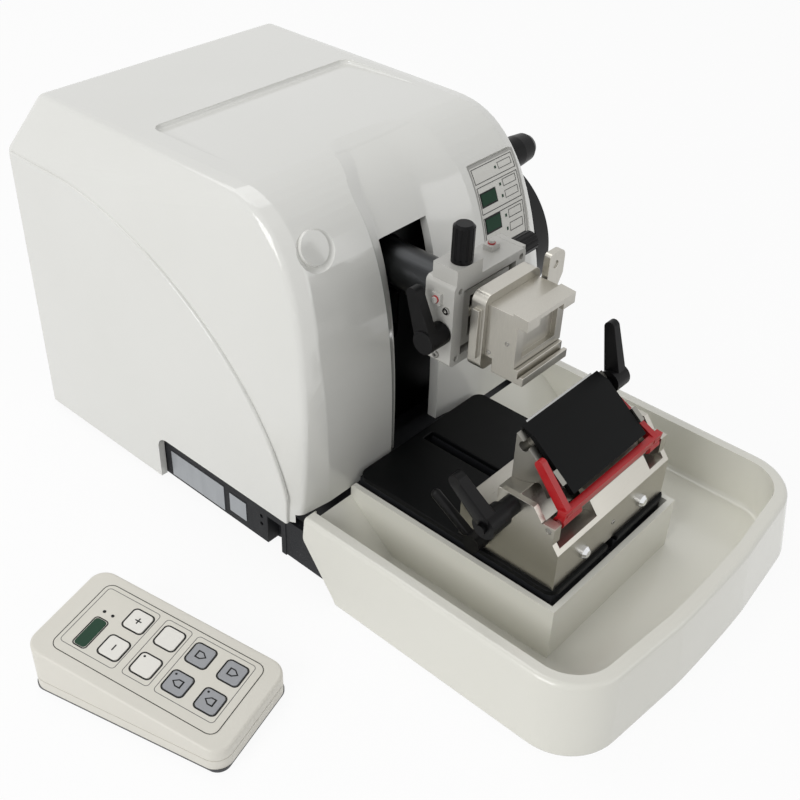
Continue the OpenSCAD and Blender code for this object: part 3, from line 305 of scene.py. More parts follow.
# Hard-anodised plate under the knife holder: near black with soft sheen.
black_anodised = moulded_paint("black_anodised_plate", "#050606", "#08090a", 0.4,
                               peel_mm=0.8, peel=0.05, sheen=0.1)
# Glass-filled nylon levers and knobs.
black_nylon = moulded_paint("glass_filled_nylon", "#050506", "#080809", 0.36,
                            peel_mm=0.9, peel=0.08, sheen=0.15)
# Enamelled handwheel.
wheel_enamel = moulded_paint("handwheel_enamel", "#08090a", "#0c0d0e", 0.3,
                             peel_mm=1.5, peel=0.03, sheen=0.2)
# Powder-coated finger guard: signal red.
guard_red = moulded_paint("powder_coated_red", "#b3141b", "#a30f17", 0.36, peel_mm=0.9, peel=0.05)
# Grey stove enamel of the orientation head.
head_enamel = moulded_paint("head_grey_enamel", "#bebdb8", "#b5b4af", 0.32, peel_mm=1.0, peel=0.05)
# Off-white ABS of the control unit, with a fine spark-eroded grain.
unit_abs = moulded_paint("control_unit_abs", "#e0ddd4", "#dad7cd", 0.42, peel_mm=0.9, peel=0.12)
# The same plastic in dark grey, for the unit's floor.
unit_dark = moulded_paint("control_unit_floor_abs", "#3a3b3d", "#424345", 0.5, peel_mm=0.9, peel=0.12)
# Matt printed polyester foils: even, with hardly any grain. The prints on them are matt inks.
unit_foil = moulded_paint("keypad_foil", "#dfdcd2", "#d8d5cb", 0.42, peel_mm=0.7, peel=0.03)
print_dark = moulded_paint("dark_print", "#141515", "#191a1a", 0.5, peel=0.0, sheen=0.2)
print_mid = moulded_paint("fine_print", "#5c5c5a", "#565654", 0.5, peel=0.0)
print_grey = moulded_paint("grey_print", "#a9a8a4", "#a3a29e", 0.5, peel=0.0)
# Display windows: dark green filter foil with a clear gloss.
display_green = moulded_paint("green_display", "#0e3d27", "#0b3722", 0.2, peel=0.0, sheen=0.15)
# The control panel's foil, and key foils in white and grey.
foil_print = moulded_paint("polyester_foil", "#dcdbd6", "#d5d4ce", 0.4, peel_mm=0.7, peel=0.03)
key_white = moulded_paint("white_key_foil", "#eceae4", "#e6e4dd", 0.38, peel_mm=0.7, peel=0.03)
key_grey = moulded_paint("grey_key_foil", "#9b9da1", "#94969a", 0.38, peel_mm=0.7, peel=0.03)
# Moulded rubber: dull, with a coarse grain. Laminate: green solder mask over fibres.
foot_rubber = moulded_paint("foot_rubber", "#1b1b1b", "#222222", 0.8, peel_mm=0.8, peel=0.2)
board_laminate = moulded_paint("board_laminate", "#1c5a38", "#17502f", 0.4, peel_mm=1.0, peel=0.05)
# Powder-coated steel sheet: near black with a fine orange peel.
rear_sheet = moulded_paint("rear_sheet_paint", "#141516", "#191a1c", 0.5, peel_mm=1.0, peel=0.2, sheen=0.2)
# Metals keep the default index. Their lines run round a turned bar and along a machined face.
# Oiled ground bar: dark, with a soft streak of light.
dark_steel = brushed_metal("oiled_dark_steel", "#3b3c3d", "#2b2c2d", 0.3, along=(40, 1, 40))
# Milled aluminium: pale and warm, with lines too fine to tell apart, drawn as coarse as they need to show.
machined_alu = brushed_metal("machined_aluminium", "#b7b4ac", "#a19e96", 0.3, line_mm=0.35, depth=0.03)
# Bead-blasted aluminium: greyer and even, without lines.
carriage_alu = brushed_metal("bead_blasted_aluminium", "#8f8d87", "#83817b", 0.36,
                             along=(1, 1, 1), depth=0.02)
# Clear-anodised aluminium: pale, with a satin break-up of the light.
anodised_alu = brushed_metal("anodised_aluminium", "#bdbab2", "#a3a099", 0.32, along=(40, 40, 4))
# Ground and turned steel: brighter, with lines round the axis. Chrome: a near mirror.
ground_steel = brushed_metal("ground_steel", "#b5b5b4", "#8f8f8e", 0.2, along=(40, 1, 40))
turned_steel = brushed_metal("turned_steel", "#a9a8a5", "#848380", 0.22, along=(60, 20, 20))
chrome = brushed_metal("chrome_plate", "#e2e3e4", "#d5d6d8", 0.07, depth=0.0)
# Hidden works: machined iron, bronze with its gold tone, and zinc-plated sheet with a faint cloud.
cast_iron = brushed_metal("machined_cast_iron", "#6d6f72", "#55575a", 0.45, along=(10, 10, 10))
bronze = brushed_metal("turned_bronze", "#b08a4c", "#96743c", 0.28)
zinc_sheet = brushed_metal("zinc_sheet", "#a9acaf", "#94979a", 0.4, along=(6, 6, 1))

FINISH = {
    gloss_housing: ["main_cover", "blank_cap"],
    gloss_tray: ["waste_tray"],
    texture_paint: ["base_casting"],
    black_anodised: ["knife_base_plate", "slot_cover", "pressure_plate"],
    black_nylon: ["power_switch", "rear_sockets", "grip", "lock_lever", "tilt_knob", "swivel_knob",
                  "segment_lever", "blade_lever", "eccentric_lever", "base_clamp_lever"],
    wheel_enamel: ["handwheel", "feed_motor"],
    rear_sheet: ["rear_panel"],
    foil_print: ["panel_foil"],
    display_green: ["panel_displays", "unit_display"],
    foot_rubber: ["rubber_feet"],
    ground_steel: ["guide_rods", "blade"],
    dark_steel: ["feed_cylinder"],
    turned_steel: ["main_shaft", "grip_axle", "feed_screw", "guard_pin", "crank_roller", "shaft_bearings"],
    cast_iron: ["carriage", "crank_disc"],
    bronze: ["feed_nut"],
    zinc_sheet: ["power_supply"],
    board_laminate: ["circuit_board"],
    head_enamel: ["head_block", "tilt_ring", "zero_indicators"],
    anodised_alu: ["adapter_frame", "clamp_body", "clamp_jaw", "clamp_lever"],
    machined_alu: ["holder_base", "segment_arc"],
    carriage_alu: ["blade_carriage"],
    guard_red: ["finger_guard"],
    chrome: ["holder_screws"],
    unit_abs: ["unit_shell"],
    unit_dark: ["unit_underside"],
    key_white: ["key_plus", "key_minus", "key_set", "key_enter"],
    key_grey: ["key_up_slow", "key_up_fast", "key_down_slow", "key_down_fast"],
}
for material, names in FINISH.items():
    for name in names:
        slots = NODES[name].data.materials
        slots.clear()
        slots.append(material)


# ---------------------------------------------------------------- housing

# Half width, reach ahead of zero, height, depth, and the height where the front wall starts to curve.
HALF, FRONT_OUT, BODY_H, BODY_D, FRONT_Z = 161, 21, 295, 316, 58
# The front wall's squared ellipse: its middle, its power and its two half axes.
MID_Y, POWER = 80, 2.7
DEEP, TALL = MID_Y + FRONT_OUT, BODY_H - FRONT_Z
# Edge radius, wall, step of the side panels, and how far the sides lean in at the foot and at the roof.
EDGE, SKIN, STEP, FOOT_IN, ROOF_IN = 9, 4, 2, 5, 30
# The front wall runs straight across up to here on each side, and rounds off beyond.
WING_X = 125
# The hollow between the wings: its sides, its depth, the cheek on its left and the rise on its right.
HOLLOW_L, HOLLOW_R, HOLLOW_D, CHEEK, CHEEK_MORE, RISE_AT, RISE_W = -55, 66, 9.0, 13, 7, 12, 54
RIDGE_LEAN, RIDGE_FROM, RIDGE_OVER, RIDGE_REACH = 17, 62, 26, 60
# Places on the wall are turns of its ellipse in degrees: the panel's pocket and the round cap's dish.
PANEL_X, PANEL_T, PANEL_DEEP = (66, 126), (27, 57), 2.5
CAP_X, CAP_T, CAP_LEAN = -HALF + 56, 55, 63
# The roof's recess, the side panels' arched upper edge, and the cut-outs over the base, in front and behind.
ROOF_X, ROOF_Y, ROOF_D, ROOF_DEEP, ROOF_FRONT = (-104, 111), 191, 131, 3.8, 92
SIDE_H, ARC_Y, ARC_FAR, ARC_POWER, PANEL_EDGE, PANEL_EASE = 261, 263, 250, 1.85, 6, 1.4
CUT_H, CUT_Y, CUT_R, GAP = 50, 148, 12, 5.5
SLOT_X, SLOT_TOP, REAR_X, REAR_TOP = (-41, 13), 244, (-130, 130), 150
# Bores in the right side for the shaft and the lock's pin: radius, y, z.
SIDE_BORES = ((22, 84, 142), (4.1, 14, 100))
# Well outside the housing, for the ends of tools.
FAR_FRONT, FAR_BELOW, CLEAR = -99, -20, 2


def front_point(turn, inward=0.0):
    """(y, z) on the front wall's squared ellipse, 0 degrees at its foot and 90 on the roof."""
    c, s = math.cos(math.radians(turn)), math.sin(math.radians(turn))
    return (MID_Y - (DEEP - inward) * max(c, 0) ** (2 / POWER),
            FRONT_Z + (TALL - inward) * max(s, 0) ** (2 / POWER))


def front_fade(turn):
    """1 at the front wall's foot, falling to 0 on the roof."""
    return max(math.cos(math.radians(turn)), 0) ** (2 / POWER)


def arc_height(y):
    """Height of the proud side panel's upper edge."""
    share = max(0, ARC_FAR - y) / ARC_Y
    return CUT_H + (SIDE_H - CUT_H) * (1 - share ** ARC_POWER) ** (1 / ARC_POWER)


def housing_form(radius, steps=24):
    """The housing's rounded form: a skin drawn over balls along its edges."""
    side_x, arc_foot = HALF - STEP - EDGE, ARC_FAR - ARC_Y
    places = []
    for side in (-1, 1):
        for i in range(steps + 1):
            y, z = front_point(90 * i / steps, EDGE)
            lean = FOOT_IN + (ROOF_IN - FOOT_IN) * max(0, z - FRONT_Z) / TALL
            places += [(side * (HALF - lean - EDGE), y + 3, z - 1),
                       (side * min(WING_X, HALF - lean - EDGE - 8), y, z)]
        for i in range(1, steps + 1):
            y = arc_foot + ARC_Y * (i / steps) ** 2
            places.append((side * side_x, y + EDGE, arc_height(y) - EDGE / 2))
        places += [(side * side_x, arc_foot + EDGE, 0), (side * side_x, BODY_D - EDGE, 0),
                   (side * side_x, BODY_D - EDGE, SIDE_H - EDGE),
                   (side * (HALF - ROOF_IN - EDGE), BODY_D - EDGE - 6, BODY_H - EDGE)]
    bpy.ops.object.select_all(action="DESELECT")
    bpy.ops.mesh.primitive_uv_sphere_add(segments=32, ring_count=16, radius=radius * MM, location=(0, 0, 0))
    ball = bpy.context.object
    points = [v.co.copy() for v in ball.data.vertices]
    bpy.data.objects.remove(ball, do_unlink=True)
    piece = drawn([at(*place) + p for place in places for p in points])
    pick_only(piece)
    bpy.ops.object.mode_set(mode="EDIT")
    bpy.ops.mesh.select_all(action="SELECT")
    bpy.ops.mesh.convex_hull(join_triangles=True, face_threshold=math.radians(0.5),
                             shape_threshold=math.radians(0.5))
    bpy.ops.mesh.delete_loose()
    bpy.ops.object.mode_set(mode="OBJECT")
    return piece


def ease(share):
    """A soft start and end between 0 and 1."""
    share = min(1, max(0, share))
    return share * share * (3 - 2 * share)


def ridge(turn):
    """Left edge of the hollow: upright on the front, leaning inward where it runs out on the roof."""
    return HOLLOW_L + RIDGE_LEAN * ease((turn - RIDGE_FROM) / RIDGE_OVER)


def hollow_depth(x, turn):
    """How far the front wall is set back: a crisp cheek on the left wing, a long soft rise to the right."""
    fade = front_fade(turn)
    cheek = CHEEK + CHEEK_MORE * (1 - fade)
    over = min(1, max(0, (x - ridge(turn)) / cheek)) * (1 - ease((x - RISE_AT) / RISE_W))
    return HOLLOW_D * fade ** 0.8 * over


def front_cutter():
    """Everything ahead of the hollow between the wings, as one sculpted tool."""
    columns = [HOLLOW_L - 3, HOLLOW_L - 0.4] + [HOLLOW_L + 2 * i for i in range(13)] \
        + [HOLLOW_L + 26 + 3.2 * i for i in range(33)]
    low, high, ahead, off = -10, BODY_H + 20, -80, 0.5
    loops = []
    for x in columns:
        loop = [(x, front_point(0, hollow_depth(x, 0))[0], low)]
        for turn in (0.5 * i for i in range(181)):
            here = x + (ridge(turn) - HOLLOW_L) * max(0, 1 - (x - HOLLOW_L) / RIDGE_REACH)
            depth = hollow_depth(here, turn)
            # Where there is no hollow, the tool stands off the wall; near the roof a little more.
            outer = off * (1 - min(1, depth / off)) + (0.35 if turn > 84 else 0)
            loop.append((here, *front_point(turn, depth - outer)))
        loops.append(loop + [(x, MID_Y, high), (x, ahead, high), (x, ahead, low)])
    return lofted(loops)


def band_cutter(depth, x0, x1, low, high, reach=40):
    """A pocket of even depth that follows the front wall between two heights of its curve."""
    turns = [low + (high - low) * i / 24 for i in range(25)]
    outline = [front_point(t, depth) for t in turns] + [front_point(t, -reach) for t in reversed(turns)]
    return prism(outline, x0, x1)


def build_housing():
    """The shell: its form, the hollow in its front, its inside and the proud side panels."""
    shell = housing_form(EDGE)
    cut_away(shell, front_cutter())
    inner = housing_form(EDGE - SKIN, 12)
    # The wall behind the hollow stays: the inside stops short of it.
    setback = 14
    behind = [front_point(t, setback * front_fade(t) + SKIN) for t in range(0, 91, 3)]
    ahead = [(MID_Y, BODY_H + 20), (-80, BODY_H + 20), (-80, -10), (front_point(0, setback + SKIN)[0], -10)]
    cut_away(inner, prism(behind + ahead, HOLLOW_L - SKIN, HOLLOW_R + SKIN))
    cut_away(shell, inner)
    foot = ARC_FAR - ARC_Y + 4
    arch = [foot + ARC_Y * (i / 60) ** 2 for i in range(61)]
    outline = [(BODY_D - EDGE, 0.0), (foot, 0.0)] + [(y, arc_height(y) - PANEL_EDGE) for y in arch] \
        + [(BODY_D - EDGE, SIDE_H - PANEL_EDGE)]
    for side in (-1, 1):
        panel = rounded(prism(outline, side * (HALF - STEP - 2), side * HALF), PANEL_EASE, 3, 60)
        cut_away(shell, panel, "UNION")
    return shell


def roof_recess():
    """A shallow recess in the roof: deepest at its rear edge, running out toward the front."""
    middle = (sum(ROOF_X) / 2, ROOF_Y - ROOF_D / 2)
    recess = flat_shape(round_outline(ROOF_X[1] - ROOF_X[0], ROOF_D, 9, 8, middle), BODY_H - 9, BODY_H + 9)
    rear, above = ROOF_Y + 2, BODY_H + 10
    wedge = [(rear, BODY_H - ROOF_DEEP), (rear, above), (ROOF_FRONT, above), (ROOF_FRONT, BODY_H + 0.2)]
    cut_away(recess, prism(wedge, -HALF, HALF), "INTERSECT")
    return rounded(recess, 3, 4, 50)


def finish_housing(shell):
    """Opens the housing: underside, side cut-outs, slot, rear opening, panel pocket, roof, cap and bores."""
    wide, wall = (-HALF - CLEAR, HALF + CLEAR), HALF - STEP - SKIN
    cut_away(shell, block(wide, (FAR_FRONT, BODY_D + CLEAR), (FAR_BELOW - 5, GAP)))
    cut_away(shell, block((-wall, wall), (FAR_FRONT, BODY_D - SKIN), (FAR_BELOW, FRONT_Z)))
    corner = [(CUT_Y - CUT_R + CUT_R * math.cos(math.radians(10 * i)),
               CUT_H - CUT_R + CUT_R * math.sin(math.radians(10 * i))) for i in range(10)]
    flank = [(FAR_FRONT, FAR_BELOW), (CUT_Y, FAR_BELOW)] + corner + [(FAR_FRONT, CUT_H)]
    cut_away(shell, prism(flank, *wide))
    cut_away(shell, block(SLOT_X, (FAR_FRONT, 20), (FAR_BELOW, SLOT_TOP)))
    cut_away(shell, block(REAR_X, (BODY_D - SKIN - 1, BODY_D + CLEAR), (FAR_BELOW, REAR_TOP)))
    cut_away(shell, rounded(band_cutter(PANEL_DEEP, *PANEL_X, *PANEL_T), 1.5, 3, 60))
    cut_away(shell, roof_recess())
    y, z = front_point(CAP_T, 2)
    cap_face = Matrix.Translation(at(CAP_X, y, z)) @ Matrix.Rotation(math.radians(CAP_LEAN), 4, "X")
    dish = [(-1, 0), (-1, 12.4), (-0.2, 14.6), (1.2, 17), (4, 19.5), (20, 19.5), (20, 0)]
    core = [(-20, 0), (-20, 10.5), (2, 10.5), (2, 0)]
    for outline in (dish, core):
        cut_away(shell, placed(turned(outline, (0, 0, 0), "Z", 96), cap_face))
    for radius, y, z in SIDE_BORES:
        cut_away(shell, turned([(0, 0), (0, radius), (14, radius), (14, 0)], (HALF - 12, y, z), "X", 64))
    return shell


# ---------------------------------------------------------------- waste tray

# Reach, width at the rim, corner radius, rim height and width, outward slope of the walls, wall.
TRAY_D, TRAY_W, TRAY_R, RIM_Z, RIM_W, FLARE, TRAY_T = 292, 314, 45, 63, 11, 7, 3.5
# The bowed front's rise at its corners, the half width over which it rises, and its power.
BOW, BOW_HALF, BOW_POWER = 7, 112, 2.6
TRAY_BACK, FLOOR_Z, AXIS_X = 22.5, 14, -21
# The knife holder's plate, which the tray is drawn round, the tray's wall there and its play.
PLATE_W, PLATE_FRONT, PLATE_WALL, PLATE_PLAY = 152, 213, 6, 1.5
# The rear ramp over the base's flanges: its foot, its step and its top.
RAMP_FOOT, RAMP_STEP, RAMP_TOP = -66, -62, 47


def tray_outline(inset, spread):
    """The tray's outline seen from above: a bowed front with round corners and a straight back."""
    radius, side, front = TRAY_R - inset, TRAY_W / 2 + spread - TRAY_R, -TRAY_D - spread + TRAY_R
    corner = [(side + radius * math.cos(math.radians(6 * i)),
               front + BOW - radius * math.sin(math.radians(6 * i))) for i in range(15)]
    bow = [100 * math.sin(math.radians(3 * i)) for i in range(-10, 11)]
    points = [(-side - radius, -TRAY_BACK)] + [(-x, y) for x, y in corner]
    points += [(x, front - radius + BOW * (abs(x) / BOW_HALF) ** BOW_POWER) for x in bow]
    return points + corner[::-1] + [(side + radius, -TRAY_BACK)]


def tray_form(inset, low, high, spread_low, spread_high):
    """The outline lofted between two levels."""
    return lofted([[(x, y, z) for x, y in tray_outline(inset, spread)]
                   for z, spread in ((low, spread_low), (high, spread_high))])


def under_slope(up):
    """What lies under the tray's rear ramp, which clears the base's flanges."""
    foot, step = (FLOOR_Z, FLOOR_Z) if up else (-1, 6)
    return prism([(1, -1), (RAMP_FOOT - up, -1), (RAMP_FOOT - up, foot), (RAMP_STEP - up, step),
                  (-TRAY_BACK + 1, RAMP_TOP + up), (1, RAMP_TOP + up)], -170, 170)


def round_plate(grow, back, levels):
    """A block over the holder's plate, grown by a margin at its front and sides."""
    half = PLATE_W / 2 + grow
    return block((AXIS_X - half, AXIS_X + half), (-PLATE_FRONT - grow, back), levels)


def build_tray():
    """The tray: its outer form, the channel inside its rim, the hollow below and the holder's opening."""
    outer = rounded(tray_form(0, 0.2, RIM_Z, FLARE, 0), 4, 4, 60)
    pocket = rounded(tray_form(RIM_W, FLOOR_Z, RIM_Z + 9, 2, 0), 5, 4, 60)
    cut_away(pocket, under_slope(TRAY_T + 2))
    cut_away(pocket, round_plate(PLATE_WALL, 0, (0, RIM_Z - 1)))
    cut_away(outer, pocket)
    below = tray_form(TRAY_T, -1, RIM_Z - TRAY_T, FLARE, 0)
    cut_away(below, tray_form(RIM_W - TRAY_T, FLOOR_Z - TRAY_T, RIM_Z + 9, 2, 0))
    cut_away(below, round_plate(PLATE_WALL, 5, (-2, RIM_Z)))
    cut_away(below, under_slope(TRAY_T))
    cut_away(outer, below)
    cut_away(outer, under_slope(0))
    cut_away(outer, round_plate(PLATE_PLAY, 1, (-1, RIM_Z + 1)))
    return outer


seat(smooth(build_tray(), 40), "tray_moulding", "waste_tray", gloss_tray, replaced=True)
housing = smooth(finish_housing(build_housing()), 32)
seat(housing, "housing_moulding", "main_cover", gloss_housing, replaced=True)

# Machined and moulded nodes keep their shape and get rounded edges: width in millimetres, segments.
EASED = {
    "knife_base_plate": (1.0, 3), "holder_base": (0.7, 3), "segment_arc": (0.5, 2),
    "blade_carriage": (0.6, 2), "head_block": (1.2, 3), "adapter_frame": (1.0, 3), "clamp_body": (0.7, 3),
    "clamp_jaw": (0.6, 2), "finger_guard": (0.5, 2), "pressure_plate": (0.4, 2), "segment_lever": (1.4, 3),
    "blade_lever": (1.4, 3), "eccentric_lever": (1.4, 3), "clamp_lever": (0.8, 3), "slot_cover": (0.4, 2),
    "base_casting": (0.8, 2), "lock_lever": (1.0, 3), "tilt_ring": (0.8, 2),
}
for node, (width, segments) in EASED.items():
    material = NODES[node].data.materials[0]
    piece = smooth(rounded(solid_of(node), width, segments), 38)
    seat(piece, node + "_finished", node, material, replaced=True)


# ---------------------------------------------------------------- control unit

# Length, width, height at the rear and at the front, its place and its turn on the bench.
UNIT_L, UNIT_W, UNIT_H1, UNIT_H2, UNIT_AT, UNIT_TURN = 162, 86, 44, 22, (-HALF - 142, -27.5), 15
UNIT_R, UNIT_EASE, UNIT_FOOT, SEAM_DEEP, SEAM_Z = 13, 5.5, 4, 0.7, (12.4, 13.1)
UNIT_SLOPE = math.atan((UNIT_H1 - UNIT_H2) / UNIT_L)
UNIT_STAND = Matrix.Translation(at(*UNIT_AT, 0)) @ Matrix.Rotation(math.radians(UNIT_TURN), 4, "Z")
UNIT_FACE = Matrix.Translation(at(*UNIT_AT, (UNIT_H1 + UNIT_H2) / 2)) \
    @ Matrix.Rotation(math.radians(UNIT_TURN), 4, "Z") @ Matrix.Rotation(UNIT_SLOPE, 4, "X")
# Two columns and four rows of keys, their size and corners, their top and the gap round them.
KEY_X, KEY_Y, KEY_W, KEY_D, KEY_R = (-11, 16.5), (28.5, 1.5, -25, -51.5), 17, 16, 3
KEY_TOP, KEY_GAP, KEY_EDGE, KEY_LAMP_AT, KEY_LAMP_R = 0.9, 0.25, 1.05, (5.7, 5.2), 0.9
KEYS = {"key_plus": (1, 0), "key_minus": (0, 0), "key_set": (1, 1), "key_enter": (0, 1),
        "key_up_slow": (1, 2), "key_up_fast": (1, 3), "key_down_slow": (0, 2), "key_down_fast": (0, 3)}
SIGN_L, SIGN_W, SIGN_R, ARROW, ARROW_IN = 5.4, 1, 0.3, 4.6, 3.1
# The keypad foil: width, depth, corner radius; its middle and its top on the sloping face.
FOIL, FOIL_AT, FOIL_H, FOIL_EDGE, FOIL_LINE = (67, 136, 7), (0.5, -1), 0.25, 0.6, 0.5
# Printed frames: middle, then width, depth and corner radius.
FOIL_FRAMES = (((2.2, 41), (56, 46, 3)), ((2.8, 1.6), (55, 22.5, 3)), ((2.8, -38.3), (55, 49, 3)))
WINDOW, WINDOW_FRAME, WINDOW_AT, WINDOW_LINE = (26, 9.5, 2.5), (28.4, 11.9, 3), (-9.2, 50), 0.9
LAMPS_AT, LAMP_R = ((10.5, 53.4), (10.5, 46.2)), 1.25
# Print starts a little below the surface that it lies on.
SINK = 0.02


def printed_ring(width, depth, radius, line, low, high):
    """A closed line of print or a narrow frame: a flat ring with a little thickness."""
    outlines = (round_outline(width, depth, radius),
                round_outline(width - 2 * line, depth - 2 * line, max(radius - line, 0.1)))
    count = len(outlines[0])
    lines = [(k + i, k + (i + 1) % count) for k in (0, count) for i in range(count)]
    ring = drawn([at(x, y, low) for outline in outlines for x, y in outline], lines)
    return edited(ring, (bpy.ops.mesh.bridge_edge_loops, {}), raised((0, 0, (high - low) * MM)))


def on_unit(piece, middle=(0, 0), turn=0):
    """Lays a piece on the unit's sloping face."""
    return placed(piece, UNIT_FACE, middle, turn)


def open_for_keys(piece, below):
    """Cuts the eight key openings through a piece on the unit's face."""
    outline = round_outline(KEY_W + 2 * KEY_GAP, KEY_D + 2 * KEY_GAP, 3.2)
    for spot in ((x, y) for x in KEY_X for y in KEY_Y):
        cut_away(piece, on_unit(flat_shape(outline, -below, 3), spot))
    return piece


def build_unit():
    """The unit's wedge-shaped shell, with its round edges, the seam round its side and the key openings."""
    below, above, wide = -16, 60, 60
    body = flat_shape(round_outline(UNIT_W, UNIT_L, UNIT_R, 10), below, above)
    side = [(-UNIT_L / 2, below), (-UNIT_L / 2, UNIT_H2), (UNIT_L / 2, UNIT_H1), (UNIT_L / 2, below)]
    cut_away(body, prism(side, -wide, wide), "INTERSECT")
    rounded(body, UNIT_EASE, 6, 24)
    cut_away(body, block((-wide, wide), (-99, 99), (-30, UNIT_FOOT)))
    cut_away(body, printed_ring(UNIT_W + 4, UNIT_L + 4, 15, 2 + SEAM_DEEP, *SEAM_Z))
    return open_for_keys(placed(body, UNIT_STAND), 5)


def arrow_outline(size):
    """A broad five-sided arrow that points up, round (0, 0)."""
    return [(0, size), (size * 0.72, 0.15 * size), (size * 0.72, -size * 0.8), (-size * 0.72, -size * 0.8),
            (-size * 0.72, 0.15 * size)]


def unit_dot(radius, top, middle):
    """A lamp under the foil: a dark round dot."""
    return on_unit(turned([(0, 0), (0, radius), (top, radius), (top, 0)], (0, 0, 0), "Z", 24), middle)


def dress_key(node, column, row):
    """A key's raised pad, and what is on it: a plus, a minus, a small lamp or an arrow."""
    spot, paint = (KEY_X[column], KEY_Y[row]), key_grey if row > 1 else key_white
    pad = on_unit(rounded(flat_shape(round_outline(KEY_W, KEY_D, KEY_R), -3, KEY_TOP), 0.4, 3), spot)
    seat(pad, node + "_pad", node, paint, replaced=True)
    low, high = KEY_TOP - 0.05, KEY_TOP + 0.06
    if row and not column:
        lamp_at = (spot[0] + KEY_LAMP_AT[0], spot[1] + KEY_LAMP_AT[1])
        seat(unit_dot(KEY_LAMP_R, high, lamp_at), node + "_lamp", node, print_dark)
    if row == 0:
        bars = [flat_shape(round_outline(SIGN_L, SIGN_W, SIGN_R, 2), low, high)]
        if column:
            bars.append(flat_shape(round_outline(SIGN_W, SIGN_L, SIGN_R, 2), low, high - 0.01))
        seat(joined([on_unit(bar, spot) for bar in bars]), node + "_print", node, print_dark)
    elif row > 1:
        turn = 180 if column else 0
        outer = on_unit(flat_shape(arrow_outline(ARROW), low, high), spot, turn)
        inner = on_unit(flat_shape(arrow_outline(ARROW_IN), low, high + 0.05), spot, turn)
        seat(outer, node + "_print", node, print_dark)
        seat(inner, node + "_print_middle", node, key_grey)


def dress_unit():
    """The unit's shell, its keypad foil with printed frames, the eight keys, the display and the lamps."""
    seat(smooth(build_unit(), 40), "unit_moulding", "unit_shell", unit_abs, replaced=True)
    width, depth, radius = FOIL
    foil = on_unit(flat_shape(round_outline(width, depth, radius, 8), -0.3, FOIL_H), FOIL_AT)
    seat(open_for_keys(foil, 2), "unit_foil", "unit_shell", unit_foil)
    low = FOIL_H - SINK
    edge = on_unit(printed_ring(*FOIL, FOIL_EDGE, low, FOIL_H + 0.06), FOIL_AT)
    seat(edge, "unit_foil_edge", "unit_shell", print_dark)
    frames = [on_unit(printed_ring(*size, FOIL_LINE, low, FOIL_H + 0.05), middle)
              for middle, size in FOIL_FRAMES]
    seat(joined(frames), "unit_foil_lines", "unit_shell", print_mid)
    window = on_unit(rounded(flat_shape(round_outline(*WINDOW), -0.5, FOIL_H + 0.25), 0.2, 2), WINDOW_AT)
    seat(window, "unit_display_window", "unit_display", display_green, replaced=True)
    frame_ring = on_unit(printed_ring(*WINDOW_FRAME, WINDOW_LINE, low, FOIL_H + 0.1), WINDOW_AT)
    seat(frame_ring, "unit_display_frame", "unit_shell", print_dark)
    lamps = [unit_dot(LAMP_R, FOIL_H + 0.2, place) for place in LAMPS_AT]
    seat(joined(lamps), "unit_lamps", "unit_shell", print_dark)
    edges = [on_unit(printed_ring(KEY_W + 2.6, KEY_D + 2.6, KEY_R + 1, KEY_EDGE, low, FOIL_H + 0.12),
                     (KEY_X[column], KEY_Y[row])) for column, row in KEYS.values()]
    for node, (column, row) in KEYS.items():
        dress_key(node, column, row)
    seat(joined(edges), "unit_key_edges", "unit_shell", print_dark)


dress_unit()


# ---------------------------------------------------------------- front panel and base side

# How deep the foil's face lies in the wall, and the wall's length in millimetres for one degree of its turn.
FOIL_FACE, WALL_DEGREE = 1.3, 2.4
# Printed frames and blank fields, as turns of the wall, and the two display windows' lower edges.
PANEL_FRAMES = ((49.5, 55), (39.8, 48.4), (29.4, 38.7))
FIELDS, WINDOWS = (51.2, 45.2, 41.4, 35.4, 31.6), (42.2, 34.4)
BORDER, FRAME_LINE, FIELD_LINE, FIELD_T, WINDOW_T, BEZEL = 2.2, 0.5, 0.4, 2.4, 3.7, 0.5
FRAME_X = (PANEL_X[0] + 4, PANEL_X[1] - 4)
FIELD_X, LAMP_X = (PANEL_X[1] - 24, PANEL_X[1] - 7), (PANEL_X[1] - 28.5, PANEL_X[1] - 26.5)
WINDOW_X, BEZEL_X = (PANEL_X[0] + 6.4, PANEL_X[0] + 24.6), (PANEL_X[0] + 5.4, PANEL_X[0] + 25.6)


def wall_patch(x, turns, deep, proud):
    """A thin sheet that lies along the front wall's curve."""
    steps = [turns[0] + (turns[1] - turns[0]) * i / 12 for i in range(13)]
    outline = [front_point(t, deep) for t in steps] + [front_point(t, proud) for t in reversed(steps)]
    return prism(outline, x[0], x[1])


def wall_frame(x, turns, line, proud):
    """A printed frame on the foil: line in millimetres, turns in degrees of the wall's curve."""
    tilt = line / WALL_DEGREE
    upright = (turns[0] + tilt, turns[1] - tilt)
    bars = [(x, (turns[0], turns[0] + tilt)), (x, (turns[1] - tilt, turns[1])),
            ((x[0], x[0] + line), upright), ((x[1] - line, x[1]), upright)]
    return joined([wall_patch(across, along, FOIL_FACE, FOIL_FACE - proud) for across, along in bars])


